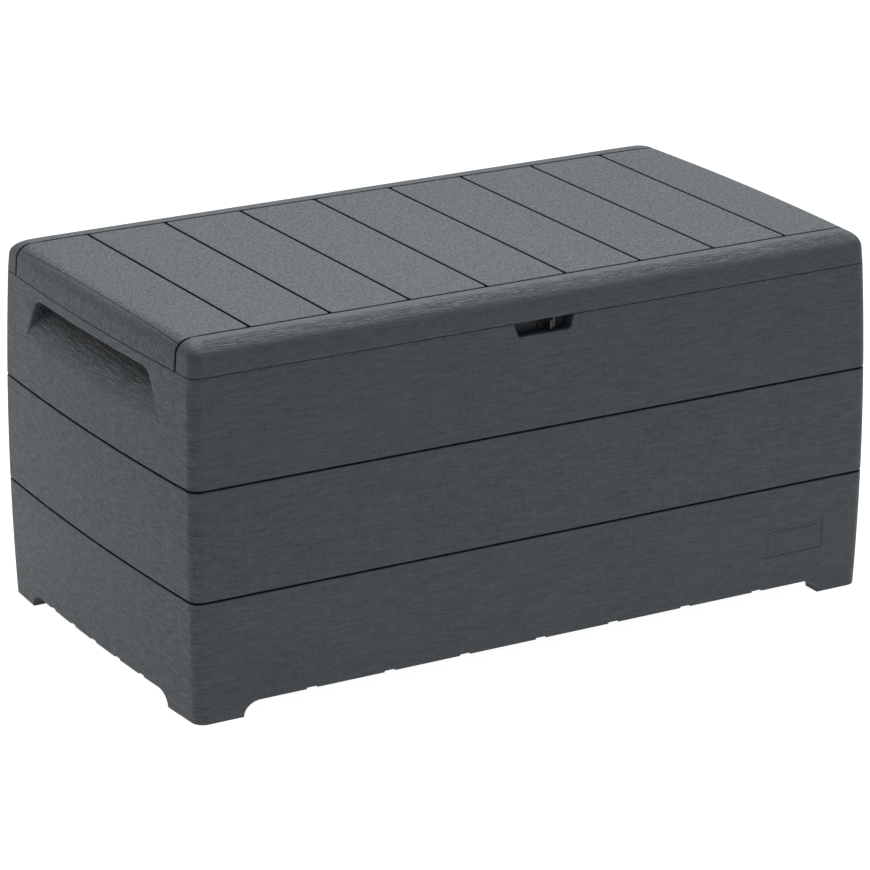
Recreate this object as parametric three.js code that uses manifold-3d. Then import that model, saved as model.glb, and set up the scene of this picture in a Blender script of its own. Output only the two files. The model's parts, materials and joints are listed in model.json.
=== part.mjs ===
// Deck storage box: four plank-look wall panels locked together over a floor panel, and a
// hollow lid on three hinge pins, held up by two gas struts.
// Millimetres, +Z up. The origin is on the ground under the middle of the box, the front is at -Y.

import * as THREE from 'three';
import { mergeVertices } from 'three/addons/utils/BufferGeometryUtils.js';
import Module from 'manifold-3d';

const wasm = await Module();
wasm.setup();

// ---------------------------------------------------------------- driving dimensions

const HALF_LENGTH = 645;              // at the lid seam, in the middle of each bowed end
const HALF_DEPTH = 347.1;             // at the lid seam
const TOP = 629.6;
const SEAM = 577.4;                   // lid above, walls below
const SEAM_GAP = 0.8;
const PLANK_GROOVES = [208.8, 394.2]; // heights of the two grooves between the wall planks
const CORNER_RADIUS = 20;
const END_BOW = 11;                   // how far the ends bulge outwards in plan
const SWELL = 6.52;                   // how far the walls swell outwards at mid height
const SWELL_HEIGHT = 274.7;
const SWELL_CURVE = 7.15e-5;
const WALL = 5;
const GROOVE_DEPTH = 3;
const GROOVE_HALF = 2;
const PLANK_STEP = 0.6;               // each lower plank sits back a little at its top edge

const FRONT_JOINT = -294.5;           // where the front panel meets the ends, under the lid's rail groove
const BACK_JOINT = 296.3;
const JOINT_GAP = 0.5;
const GAP = 0.3;                      // between pieces that touch

const FOOT_HEIGHT = 24.7;
const FOOT_DEPTH = 35;
const FOOT_START_X = 553;             // inner edge of the feet along the long sides
const FOOT_START_Y = [-252, 261];     // inner edges of the feet along the ends
const FOOT_CURVE = 30;

const LATCH_TOP = 57;                 // half width of the notch at the top of the front panel
const LATCH_BOTTOM = 48;
const LATCH_FLOOR = 553;
const LATCH_CORNER = 6;
const LATCH_BACK = -321;              // back face of the notch
const POCKET = { x: [-62, 62], y: [-346, -313], bottom: 548 };
const LOCK_EYE = { y: -332, z: 566, r: 4.5 };

const HANDLE_TOP = 560;
const HANDLE_DEPTH = 32;
const HANDLE_WALL = 4;
const HANDLE_HALF_WIDTHS = [[178, 560], [204, 553], [219, 541], [228, 526], [240, 503], [252, 480]];
const HANDLE_FLOOR = [[613, 546], [643, 510], [668, 480]];  // the sloping floor, as [x, z]

const HINGE = { y: 347.6, z: 578 };
const HINGE_STATIONS = [-430, 0, 430];
const KNUCKLE_RADIUS = 6;
const KNUCKLE_SWEEP = 6.6;            // clearance cut round a knuckle
const LID_KNUCKLE = 11.85;            // half width
const WALL_KNUCKLE = [12.15, 30];
const KNUCKLE_NOTCH = 35;             // half width of the whole hinge notch
const PIN_RADIUS = 2.5;
const PIN_HEAD = { r: 4.2, thick: 2 };

const STRUT_PLANE = 588;              // distance of each strut from the middle of the box
const STRUT_PIVOT_RADIUS = 200;       // both pivots lie this far from the hinge line
const LID_PIVOT_ANGLE = -4;           // degrees below the horizontal, seen from the hinge
const BOX_PIVOT_ANGLE = -81.5;
const EYE_RADIUS = 9;
const EYE_THICKNESS = 8;
const PEG_RADIUS = 4;
const TUBE_RADIUS = 9;
const TUBE_BORE = 7.5;
const TUBE_LENGTH = 190;
const ROD_RADIUS = 4;
const FITTING_LENGTH = 16;            // eye centre to the end of the tube or rod

const LID_WALL = 5;
const LID_END_RADIUS = 24;            // rounding of the lid's top edge along the short ends
const LID_LONG_RADIUS = 29;           // and along the front and back
const LID_FLARE = 0.07;               // how much the lid widens per millimetre towards the seam
const SLAT_GROOVES = [73.9, 217.3, 360.7, 504.1];
const LINER_BOTTOM = 580;
const LINER_PLATE = 3.5;
const LINER_INSET = 17;
const RIM_TOP = 600;                  // where the liner's rim meets the shell's rim
const BAR_Y = [-160, 160];
const BAR = { width: 30, height: 20, wall: 1.5, halfLength: 560, bottom: 592 };
const SADDLES = [-480, -240, 0, 240, 480];

const SCREW_RADIUS = 2;
const SCREW_HEAD = { r: 4.2, rim: 1.1, thick: 2, crownR: 3 };
const SCREW_TIP = 1.5;
const BOX_LOCK_SCREW = 8;             // lengths of the shanks
const LID_LOCK_SCREW = 13;
const BRACKET_SCREW_LENGTH = 14;

// ---------------------------------------------------------------- materials

function plastic(color, roughness) {
  return new THREE.MeshStandardMaterial({ color, roughness, metalness: 0 });
}

const RESIN = plastic(0x494d51, 0.62);
const RESIN_TOP = plastic(0x54585c, 0.66);
const RESIN_INNER = plastic(0x3f4346, 0.7);
const BLACK_PLASTIC = plastic(0x1b1c1e, 0.5);
const BLACK_PAINT = new THREE.MeshStandardMaterial({ color: 0x17181a, roughness: 0.4, metalness: 0.3 });
const ZINC = new THREE.MeshStandardMaterial({ color: 0xa9adb0, roughness: 0.38, metalness: 1 });
const CHROME = new THREE.MeshStandardMaterial({ color: 0xd6d9db, roughness: 0.12, metalness: 1 });

// ---------------------------------------------------------------- solids from three.js geometry

function toSolid(geometry) {
  const bare = geometry.index ? geometry.toNonIndexed() : geometry;
  bare.deleteAttribute('normal');
  bare.deleteAttribute('uv');
  const merged = mergeVertices(bare, 1e-4);
  return new wasm.Manifold(new wasm.Mesh({
    numProp: 3,
    vertProperties: new Float32Array(merged.attributes.position.array),
    triVerts: new Uint32Array(merged.index.array),
  }));
}

function toGeometry(solid) {
  const mesh = solid.getMesh();
  const geometry = new THREE.BufferGeometry();
  geometry.setAttribute('position', new THREE.BufferAttribute(mesh.vertProperties, 3));
  geometry.setIndex(new THREE.BufferAttribute(mesh.triVerts, 1));
  const flat = geometry.toNonIndexed();
  flat.computeVertexNormals();
  return flat;
}

function joined(solids) {
  return solids.reduce((sum, solid) => sum.add(solid));
}

function block(x, y, z) {
  const geometry = new THREE.BoxGeometry(x[1] - x[0], y[1] - y[0], z[1] - z[0]);
  geometry.translate((x[0] + x[1]) / 2, (y[0] + y[1]) / 2, (z[0] + z[1]) / 2);
  return toSolid(geometry);
}

// A block on one end of the box: x is measured from the middle towards that end.
function endBlock(side, x, y, z) {
  return block(side > 0 ? x : [-x[1], -x[0]], y, z);
}

function extrusion(points, depth, hole) {
  const shape = new THREE.Shape(points.map(([u, v]) => new THREE.Vector2(u, v)));
  if (hole) {
    shape.holes.push(new THREE.Path(hole.map(([u, v]) => new THREE.Vector2(u, v))));
  }
  return new THREE.ExtrudeGeometry(shape, { depth, bevelEnabled: false });
}

// Points are [x, z] pairs; the prism runs along Y.
function prismAlongY(points, y) {
  const geometry = extrusion(points, y[1] - y[0]);
  geometry.rotateX(Math.PI / 2);
  geometry.translate(0, y[1], 0);
  return toSolid(geometry);
}

// Points are [y, z] pairs; the prism runs along X.
function prismAlongX(points, x, hole) {
  const geometry = extrusion(points, x[1] - x[0], hole);
  const basis = new THREE.Matrix4().makeBasis(
    new THREE.Vector3(0, 1, 0), new THREE.Vector3(0, 0, 1), new THREE.Vector3(1, 0, 0));
  geometry.applyMatrix4(basis);
  geometry.translate(x[0], 0, 0);
  return toSolid(geometry);
}

function rodAlongX(radius, x, centre, segments = 14) {
  const geometry = new THREE.CylinderGeometry(radius, radius, x[1] - x[0], segments);
  geometry.rotateZ(Math.PI / 2);
  geometry.translate((x[0] + x[1]) / 2, centre.y, centre.z);
  return toSolid(geometry);
}

function rodAlongY(radius, y, centre, segments = 8) {
  const geometry = new THREE.CylinderGeometry(radius, radius, y[1] - y[0], segments);
  geometry.translate(centre.x, (y[0] + y[1]) / 2, centre.z);
  return toSolid(geometry);
}

function rodAlongZ(radius, z, centre, segments = 8) {
  const geometry = new THREE.CylinderGeometry(radius, radius, z[1] - z[0], segments);
  geometry.rotateX(Math.PI / 2);
  geometry.translate(centre.x, centre.y, (z[0] + z[1]) / 2);
  return toSolid(geometry);
}

// A turned piece about its own Z axis, from [radius, height] pairs that start and end on the axis.
function turned(profile, segments = 16) {
  const points = profile.map(([r, h]) => new THREE.Vector2(r, h));
  const geometry = new THREE.LatheGeometry(points, segments);
  geometry.rotateX(Math.PI / 2);
  return geometry;
}

// ---------------------------------------------------------------- the plan outline

const END_STEPS = 4;
const CORNER_STEPS = 4;
const SMALLEST_RADIUS = 4;

// A rounded rectangle whose short ends bow outwards, counter-clockwise, inset from the seam line.
function planOutline(inset) {
  const radius = Math.max(CORNER_RADIUS - inset, SMALLEST_RADIUS);
  const side = HALF_DEPTH - inset;
  const cornerY = side - radius;
  const endX = (y) => HALF_LENGTH - inset - END_BOW * (y / HALF_DEPTH) ** 2;
  const cornerX = endX(cornerY) - radius;
  const half = [];
  const corner = (sign, from) => {
    for (let i = 0; i <= CORNER_STEPS; i++) {
      const angle = from + (i / CORNER_STEPS) * Math.PI / 2;
      half.push([cornerX + radius * Math.cos(angle), sign * cornerY + radius * Math.sin(angle)]);
    }
  };
  corner(-1, -Math.PI / 2);
  for (let i = 1; i < END_STEPS; i++) {
    const y = THREE.MathUtils.lerp(-cornerY, cornerY, i / END_STEPS);
    half.push([endX(y), y]);
  }
  corner(1, 0);
  return half.concat(half.map(([x, y]) => [-x, -y]));
}

// The outline drawn up through levels of { z, x, y }, where x and y move it outwards at that height.
function drawnUp(inset, levels) {
  const shape = new THREE.Shape(planOutline(inset).map(([x, y]) => new THREE.Vector2(x, y)));
  const steps = levels.length - 1;
  const geometry = new THREE.ExtrudeGeometry(shape, { depth: steps, steps, bevelEnabled: false });
  const position = geometry.attributes.position;
  for (let i = 0; i < position.count; i++) {
    const level = levels[Math.round(position.getZ(i))];
    const x = position.getX(i) * (1 + level.x / HALF_LENGTH);
    const y = position.getY(i) * (1 + level.y / HALF_DEPTH);
    position.setXYZ(i, x, y, level.z);
  }
  return toSolid(geometry);
}

function straightUp(inset, z) {
  return drawnUp(inset, z.map((height) => ({ z: height, x: 0, y: 0 })));
}

// ---------------------------------------------------------------- wall skin

const WALL_TOP = SEAM - SEAM_GAP / 2;
const LID_BOTTOM = SEAM + SEAM_GAP / 2;

function swell(z) {
  return SWELL - SWELL_CURVE * (z - SWELL_HEIGHT) ** 2;
}

function wallLevels(bottom, top) {
  const level = (z, inset = 0) => ({ z, x: swell(z) - inset, y: swell(z) - inset });
  const levels = [level(bottom)];
  for (const groove of PLANK_GROOVES) {
    levels.push(level(groove - GROOVE_HALF, PLANK_STEP));
    levels.push(level(groove, GROOVE_DEPTH));
    levels.push(level(groove + GROOVE_HALF));
  }
  levels.push(level(top));
  return levels;
}

const wallOuter = drawnUp(0, wallLevels(0, WALL_TOP));

// Everything inside the walls, from a given depth behind their face.
function wallInside(depth, bottom = -1, top = WALL_TOP + 1) {
  return drawnUp(depth, wallLevels(bottom, top));
}

// What is moulded onto the inside of the skin starts in the middle of its thickness.
const wallCore = wallInside(WALL / 2, 0, WALL_TOP);

const BEYOND = 800;                   // further out than any part of the box
const EVERYWHERE = [-BEYOND, BEYOND];

// A belt that runs right round inside the walls.
function belt(depth, z) {
  return wallCore.intersect(block(EVERYWHERE, EVERYWHERE, z)).subtract(wallInside(depth));
}

const FLANGE_TOP = 28.7;
const SHELF = { depth: 12, bottom: 571 };
const LIP = { outer: 6.5, inner: 9.5, top: 585 };

const rainLip = straightUp(LIP.outer, [SHELF.bottom + 1, LIP.top])
  .subtract(straightUp(LIP.inner, [SHELF.bottom, LIP.top + 1]));

// The space under the box between the feet: rounded where it meets each foot.
function footGap(low, high) {
  const points = [[low, -1]];
  const arcSteps = 5;
  for (let i = 0; i <= arcSteps; i++) {
    const angle = (i / arcSteps) * Math.PI / 2;
    points.push([low + FOOT_CURVE * (1 - Math.cos(angle)), FOOT_HEIGHT * Math.sin(angle)]);
  }
  for (let i = arcSteps; i >= 0; i--) {
    const angle = (i / arcSteps) * Math.PI / 2;
    points.push([high - FOOT_CURVE * (1 - Math.cos(angle)), FOOT_HEIGHT * Math.sin(angle)]);
  }
  points.push([high, -1]);
  return points.reverse();
}

const underBox = prismAlongY(footGap(-FOOT_START_X, FOOT_START_X), EVERYWHERE)
  .add(prismAlongX(footGap(...FOOT_START_Y), EVERYWHERE));

const walls = joined([
  wallOuter.subtract(wallInside(WALL)),
  belt(FOOT_DEPTH, [0, FLANGE_TOP]),
  belt(SHELF.depth, [SHELF.bottom, WALL_TOP]),
  rainLip,
]).subtract(underBox);

// ---------------------------------------------------------------- ribs, joints and notches of the walls

const RIB = { half: 3, bottom: 40, top: 560 };
const LONG_RIBS = [-501, -358, -215, -72, 72, 215, 358, 501];
const END_RIBS = [-170, -85, 0, 85, 170];
const LONG_RIB_REACH = 333;
const END_RIB_REACH = 628;
const END_RIB_TOP = 495;
const NOTCH = { half: 10, height: 2.4, depth: 8 };
const LONG_NOTCHES = [-430, -287, -146, -1, 140, 283, 427];
const END_NOTCHES = [-164, -79, 10, 90, 172];

function ribsAlong(side) {
  const y = side > 0 ? [LONG_RIB_REACH, BEYOND] : [-BEYOND, -LONG_RIB_REACH];
  const ribs = LONG_RIBS.map((x) => block([x - RIB.half, x + RIB.half], y, [RIB.bottom, RIB.top]));
  return joined(ribs).intersect(wallCore);
}

function notchesAlong(side) {
  const inner = HALF_DEPTH - NOTCH.depth;
  const y = side > 0 ? [inner, BEYOND] : [-BEYOND, -inner];
  const z = [FOOT_HEIGHT - 1, FOOT_HEIGHT + NOTCH.height];
  return joined(LONG_NOTCHES.map((x) => block([x - NOTCH.half, x + NOTCH.half], y, z)));
}

// Two flanges meet inside each corner joint; a C-shaped key slid over both locks them.
const FLANGE = { reach: 618, thick: 5.5, bottom: 40, top: 566 };
const KEY = { thick: 2.5, armEnd: 628, bottom: 45, top: 560 };

function jointFlange(side, joint, towards) {
  const face = joint + towards * JOINT_GAP / 2;
  const y = towards > 0 ? [face, face + FLANGE.thick] : [face - FLANGE.thick, face];
  return endBlock(side, [FLANGE.reach, BEYOND], y, [FLANGE.bottom, FLANGE.top]).intersect(wallCore);
}

function cornerKey(side, joint) {
  const half = JOINT_GAP / 2 + FLANGE.thick + GAP;
  const back = FLANGE.reach - GAP;
  const outer = endBlock(side, [back - KEY.thick, KEY.armEnd],
    [joint - half - KEY.thick, joint + half + KEY.thick], [KEY.bottom, KEY.top]);
  const space = endBlock(side, [back, KEY.armEnd + 1], [joint - half, joint + half], [0, TOP]);
  return outer.subtract(space);
}

// ---------------------------------------------------------------- hinge

function knuckle(centre, x, sweep = KNUCKLE_RADIUS) {
  return rodAlongX(sweep, [centre + x[0], centre + x[1]], HINGE, 12);
}

function hingeBore(centre) {
  return rodAlongX(PIN_RADIUS + GAP, [centre - KNUCKLE_NOTCH - 1, centre + KNUCKLE_NOTCH + 1], HINGE, 8);
}

function withWallKnuckles(panel) {
  let result = panel;
  for (const centre of HINGE_STATIONS) {
    for (const sign of [-1, 1]) {
      const span = (from, to) => [Math.min(sign * from, sign * to), Math.max(sign * from, sign * to)];
      result = result.subtract(knuckle(centre, span(WALL_KNUCKLE[1], KNUCKLE_NOTCH), KNUCKLE_SWEEP));
      result = result.add(knuckle(centre, span(...WALL_KNUCKLE)));
    }
    const middle = [-WALL_KNUCKLE[0], WALL_KNUCKLE[0]];
    result = result.subtract(knuckle(centre, middle, KNUCKLE_SWEEP));
    result = result.subtract(hingeBore(centre));
  }
  return result;
}

function withLidKnuckles(shell) {
  let result = shell;
  for (const centre of HINGE_STATIONS) {
    result = result.subtract(knuckle(centre, [-KNUCKLE_NOTCH, -LID_KNUCKLE], KNUCKLE_SWEEP));
    result = result.subtract(knuckle(centre, [LID_KNUCKLE, KNUCKLE_NOTCH], KNUCKLE_SWEEP));
    result = result.add(knuckle(centre, [-LID_KNUCKLE, LID_KNUCKLE]));
    result = result.subtract(hingeBore(centre));
  }
  return result;
}

function hingePin() {
  const end = WALL_KNUCKLE[1] + 1;
  const head = end - 1 + GAP;
  const headEnd = head + PIN_HEAD.thick;
  const geometry = turned([[0, -end], [PIN_RADIUS, -end], [PIN_RADIUS, head], [PIN_HEAD.r, head],
    [PIN_HEAD.r, headEnd], [0, headEnd]], 12);
  geometry.rotateY(Math.PI / 2);
  return toSolid(geometry);
}

// ---------------------------------------------------------------- front panel

function latchNotch() {
  const right = [[LATCH_BOTTOM - LATCH_CORNER, LATCH_FLOOR], [LATCH_BOTTOM, LATCH_FLOOR + LATCH_CORNER],
    [LATCH_TOP, WALL_TOP], [LATCH_TOP, LIP.top + 1]];
  const left = right.map(([x, z]) => [-x, z]).reverse();
  return prismAlongY(left.concat(right), [-BEYOND, LATCH_BACK]);
}

const BADGE = { x: [437, 557], z: [83, 136], depth: 1 };
const LOCK_SCREWS_X = [7, 31.5];
const LOCK_SCREW_Z = 564;

function frontPanel() {
  const front = [-BEYOND, FRONT_JOINT - JOINT_GAP / 2];
  const pocket = block(POCKET.x, POCKET.y, [POCKET.bottom, WALL_TOP]);
  const badge = block(BADGE.x, front, BADGE.z).subtract(wallInside(BADGE.depth));
  const screwHoles = LOCK_SCREWS_X.map((x) => (
    rodAlongY(SCREW_RADIUS + GAP, [LATCH_BACK - 1, POCKET.y[1] - 1.5], { x, z: LOCK_SCREW_Z })));
  return joined([
    walls.intersect(block(EVERYWHERE, front, EVERYWHERE)),
    ribsAlong(-1),
    jointFlange(-1, FRONT_JOINT, -1),
    jointFlange(1, FRONT_JOINT, -1),
    pocket,
  ]).subtract(joined([latchNotch(), notchesAlong(-1), badge, ...screwHoles]));
}

// ---------------------------------------------------------------- back panel

// The struts' lower brackets are screwed to pedestals in the back panel's wrapped corners.
const PEDESTAL = { face: 603.5, y: [306, 343], halfZ: 38, holeDepth: 14 };
const BRACKET_SCREW = 26;

function pivotAt(degrees) {
  const angle = THREE.MathUtils.degToRad(degrees);
  return {
    y: HINGE.y - STRUT_PIVOT_RADIUS * Math.cos(angle),
    z: HINGE.z + STRUT_PIVOT_RADIUS * Math.sin(angle),
  };
}

const boxPivot = pivotAt(BOX_PIVOT_ANGLE);
const lidPivot = pivotAt(LID_PIVOT_ANGLE);

function sidewaysSpan(side, from, to) {
  return side > 0 ? [from, to] : [-to, -from];
}

function pedestal(side) {
  return endBlock(side, [PEDESTAL.face, BEYOND], PEDESTAL.y,
    [boxPivot.z - PEDESTAL.halfZ, boxPivot.z + PEDESTAL.halfZ]).intersect(wallCore);
}

function pedestalHoles(side) {
  const x = sidewaysSpan(side, PEDESTAL.face - 1, PEDESTAL.face + PEDESTAL.holeDepth);
  return joined([-1, 1].map((sign) => (
    rodAlongX(SCREW_RADIUS + GAP, x, { y: boxPivot.y, z: boxPivot.z + sign * BRACKET_SCREW }, 8))));
}

function backPanel() {
  const panel = joined([
    walls.intersect(block(EVERYWHERE, [BACK_JOINT + JOINT_GAP / 2, BEYOND], EVERYWHERE)),
    ribsAlong(1),
    jointFlange(-1, BACK_JOINT, 1),
    jointFlange(1, BACK_JOINT, 1),
    pedestal(-1),
    pedestal(1),
  ]).subtract(joined([notchesAlong(1), pedestalHoles(-1), pedestalHoles(1)]));
  return withWallKnuckles(panel);
}

// ---------------------------------------------------------------- end panels

// The handle's hollow, or with a wall thickness the form of the moulding round it.
function scoop(side, wall) {
  const [[backX, backZ], [faceX, faceZ], [outX, outZ]] = HANDLE_FLOOR;
  const slope = Math.atan2(faceX - backX, backZ - faceZ);
  const shift = { x: -wall * Math.cos(slope), z: -wall * Math.sin(slope) };
  const top = HANDLE_TOP + wall;
  const profile = [[BEYOND, top], [HALF_LENGTH - HANDLE_DEPTH - wall, top],
    [HALF_LENGTH - HANDLE_DEPTH - wall, backZ + shift.z], [faceX + shift.x, faceZ + shift.z],
    [outX + shift.x, outZ + shift.z], [BEYOND, outZ + shift.z]];
  const placed = profile.map(([x, z]) => [side * x, z]);
  const across = prismAlongY(side > 0 ? placed : placed.reverse(), EVERYWHERE);
  const [lastY, lastZ] = HANDLE_HALF_WIDTHS.at(-1);
  const edge = HANDLE_HALF_WIDTHS.map(([y, z]) => [y + wall, z === HANDLE_TOP ? top : z]);
  const below = [[lastY, lastZ - HANDLE_DEPTH], [-lastY, lastZ - HANDLE_DEPTH]];
  const face = edge.concat(below, edge.map(([y, z]) => [-y, z]).reverse());
  const x = side > 0 ? [0, BEYOND] : [-BEYOND, 0];
  return across.intersect(prismAlongX(face.reverse(), x));
}

function endPanel(side) {
  const span = [FRONT_JOINT + JOINT_GAP / 2, BACK_JOINT - JOINT_GAP / 2];
  const ribs = END_RIBS.map((y) => (
    endBlock(side, [END_RIB_REACH, BEYOND], [y - RIB.half, y + RIB.half], [RIB.bottom, END_RIB_TOP])));
  const notchStart = HALF_LENGTH - NOTCH.depth;
  const notches = END_NOTCHES.map((y) => endBlock(side, [notchStart, BEYOND],
    [y - NOTCH.half, y + NOTCH.half], [FOOT_HEIGHT - 1, FOOT_HEIGHT + NOTCH.height]));
  return joined([
    walls.intersect(endBlock(side, [0, BEYOND], span, EVERYWHERE)),
    joined([...ribs, scoop(side, HANDLE_WALL)]).intersect(wallCore),
    jointFlange(side, FRONT_JOINT, 1),
    jointFlange(side, BACK_JOINT, -1),
  ]).subtract(joined([scoop(side, 0), ...notches]));
}

// ---------------------------------------------------------------- floor

const FLOOR = { inset: 8, bottom: 29, top: 33 };
const FLOOR_RIB = { half: 3, bottom: 17, x: [-480, -240, 0, 240, 480], y: [-250, -125, 125, 250] };

function floorPanel() {
  const z = [FLOOR_RIB.bottom, FLOOR.bottom + 1];
  const [lastX, lastY] = [FLOOR_RIB.x.at(-1) + FLOOR_RIB.half, FLOOR_RIB.y.at(-1)];
  const across = FLOOR_RIB.x.map((x) => (
    block([x - FLOOR_RIB.half, x + FLOOR_RIB.half], [-lastY, lastY], z)));
  const along = FLOOR_RIB.y.map((y) => (
    block([-lastX, lastX], [y - FLOOR_RIB.half, y + FLOOR_RIB.half], z)));
  return joined([straightUp(FLOOR.inset, [FLOOR.bottom, FLOOR.top]), ...across, ...along]);
}

// ---------------------------------------------------------------- lid shell

// The lid's outer form, or a form a given depth behind its face.
function lidForm(depth, bottom) {
  const steps = 5;
  const heights = [bottom];
  const top = TOP - depth;
  const widest = TOP - LID_LONG_RADIUS;
  for (let i = 1; i <= steps; i++) {
    heights.push(widest + (top - widest) * Math.sin((i / steps) * Math.PI / 2));
  }
  const rounding = (z, radius) => {
    const rise = Math.max(z - (TOP - radius), 0);
    const reach = radius - depth;
    return reach - Math.sqrt(Math.max(reach ** 2 - rise ** 2, 0));
  };
  const levels = heights.map((z) => {
    const flare = LID_FLARE * (z - SEAM);
    return { z, x: -flare - rounding(z, LID_END_RADIUS), y: -flare - rounding(z, LID_LONG_RADIUS) };
  });
  return drawnUp(depth, levels);
}

const lidOuter = lidForm(0, LID_BOTTOM);
const LID_GROOVE = { half: 1.5, depth: 2.5 };
const LOCK_BOSS = { x: [2, 44], y: [-343, -318], z: [583, 604], holeTop: 594 };
const LID_LOCK_SCREWS_X = [9, 36];
const LID_LOCK_SCREW_Y = -330;
const SHELL_RIM = [20, 23];
const SADDLE = { half: 3, shellReach: 326, linerReach: 200 };

function lidGrooves() {
  const slabs = [FRONT_JOINT, BACK_JOINT].map((y) => (
    block(EVERYWHERE, [y - LID_GROOVE.half, y + LID_GROOVE.half], [LID_BOTTOM - 1, BEYOND])));
  for (const offset of SLAT_GROOVES) {
    for (const x of [-offset, offset]) {
      slabs.push(block([x - LID_GROOVE.half, x + LID_GROOVE.half], [FRONT_JOINT, BACK_JOINT],
        [TOP - LID_END_RADIUS, BEYOND]));
    }
  }
  return joined(slabs).subtract(lidForm(LID_GROOVE.depth, LID_BOTTOM - 2));
}

function lidShell() {
  const inside = lidForm(LID_WALL, LID_BOTTOM - 2);
  const fillings = [
    straightUp(SHELL_RIM[0], [RIM_TOP + GAP, TOP]).subtract(straightUp(SHELL_RIM[1], [RIM_TOP, TOP + 1])),
    block(LOCK_BOSS.x, LOCK_BOSS.y, LOCK_BOSS.z),
    ...SADDLES.map((x) => block([x - SADDLE.half, x + SADDLE.half],
      [-SADDLE.shellReach, SADDLE.shellReach], [BAR.bottom + BAR.height + GAP, TOP])),
  ];
  const lidCore = lidForm(LID_WALL / 2, LID_BOTTOM);
  const shell = lidOuter.subtract(inside).add(joined(fillings).intersect(lidCore)).subtract(lidGrooves());
  const screwHoles = LID_LOCK_SCREWS_X.map((x) => (
    rodAlongZ(SCREW_RADIUS + GAP, [LOCK_BOSS.z[0] - 1, LOCK_BOSS.holeTop], { x, y: LID_LOCK_SCREW_Y })));
  return withLidKnuckles(shell.subtract(joined(screwHoles)));
}

// ---------------------------------------------------------------- lid liner, bars and lock

const LID_BRACKET = { x: [571, 600], halfY: 30, screwX: 580, screwY: 22, tabHalf: 13, tabDrop: 9 };
const BRACKET_BOSS = { x: [569, 604], halfY: 32, top: 598, holeTop: 592 };
const LOCK_ROOM = { x: [-60, 60], back: -314 };   // the liner leaves the lock free

function lidLiner() {
  const plateTop = LINER_BOTTOM + LINER_PLATE;
  const rim = straightUp(SHELL_RIM[0], [plateTop - 1, RIM_TOP])
    .subtract(straightUp(SHELL_RIM[1], [LINER_BOTTOM, RIM_TOP + 1]));
  const parts = [straightUp(LINER_INSET, [LINER_BOTTOM, plateTop]), rim];
  for (const x of SADDLES) {
    parts.push(block([x - SADDLE.half, x + SADDLE.half], [-SADDLE.linerReach, SADDLE.linerReach],
      [plateTop - 1, BAR.bottom - GAP]));
  }
  const screwHoles = [];
  for (const side of [-1, 1]) {
    parts.push(endBlock(side, BRACKET_BOSS.x,
      [lidPivot.y - BRACKET_BOSS.halfY, lidPivot.y + BRACKET_BOSS.halfY], [plateTop - 1, BRACKET_BOSS.top]));
    for (const sign of [-1, 1]) {
      screwHoles.push(rodAlongZ(SCREW_RADIUS + GAP, [LINER_BOTTOM - 1, BRACKET_BOSS.holeTop],
        { x: side * LID_BRACKET.screwX, y: lidPivot.y + sign * LID_BRACKET.screwY }));
    }
  }
  const lockRoom = block(LOCK_ROOM.x, [-BEYOND, LOCK_ROOM.back], [LINER_BOTTOM - 1, RIM_TOP + 1]);
  return joined(parts).subtract(joined([lockRoom, ...screwHoles]));
}

function lidBar(y) {
  const outline = (inset) => {
    const [w, low] = [BAR.width / 2 - inset, BAR.bottom + inset];
    const high = BAR.bottom + BAR.height - inset;
    return [[y - w, low], [y + w, low], [y + w, high], [y - w, high]];
  };
  return prismAlongX(outline(0), [-BAR.halfLength, BAR.halfLength], outline(BAR.wall));
}

const BOX_FIN = [15.5, 20];
const LID_FIN = [20.7, 25.2];
const FIN_FRONT = -341;
const FIN_LAP = 1;                    // how far each fin runs into its plate
const BOX_LOCK = { x: [1, 37.5], z: [556, 573], thick: 2, finTop: 575.5 };
const LID_LOCK = { x: [4, 42], y: [-341, -319], thick: 3, finBottom: 555.5 };

// A lock fin seen from the side, with its free front corner cut off.
function lockFin(x, y, z, low) {
  const cut = 4;
  const points = [[y[1], z[0]], [y[1], z[1]], [y[0], z[1]], [y[0], z[0]]];
  points.splice(low ? 3 : 2, 1, ...(low
    ? [[y[0], z[0] + cut], [y[0] + cut, z[0]]]
    : [[y[0] + cut, z[1]], [y[0], z[1] - cut]]));
  return prismAlongX(points.reverse(), x);
}

function lockHole() {
  return rodAlongX(LOCK_EYE.r, [0, 40], LOCK_EYE, 12);
}

function boxLockPlate() {
  const back = LATCH_BACK - GAP;
  const front = back - BOX_LOCK.thick;
  const plate = block(BOX_LOCK.x, [front, back], BOX_LOCK.z);
  const fin = lockFin(BOX_FIN, [FIN_FRONT, front + FIN_LAP], [BOX_LOCK.z[0], BOX_LOCK.finTop], false);
  const holes = LOCK_SCREWS_X.map((x) => (
    rodAlongY(SCREW_RADIUS + GAP, [front - 1, back + 1], { x, z: LOCK_SCREW_Z })));
  return plate.add(fin).subtract(joined([lockHole(), ...holes]));
}

function lidLockPlate() {
  const top = LOCK_BOSS.z[0] - GAP;
  const bottom = top - LID_LOCK.thick;
  const plate = block(LID_LOCK.x, LID_LOCK.y, [bottom, top]);
  const fin = lockFin(LID_FIN, [FIN_FRONT, LATCH_BACK - 3], [LID_LOCK.finBottom, bottom + FIN_LAP], true);
  const holes = LID_LOCK_SCREWS_X.map((x) => (
    rodAlongZ(SCREW_RADIUS + GAP, [bottom - 1, top + 1], { x, y: LID_LOCK_SCREW_Y })));
  return plate.add(fin).subtract(joined([lockHole(), ...holes]));
}

// ---------------------------------------------------------------- gas struts

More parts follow.
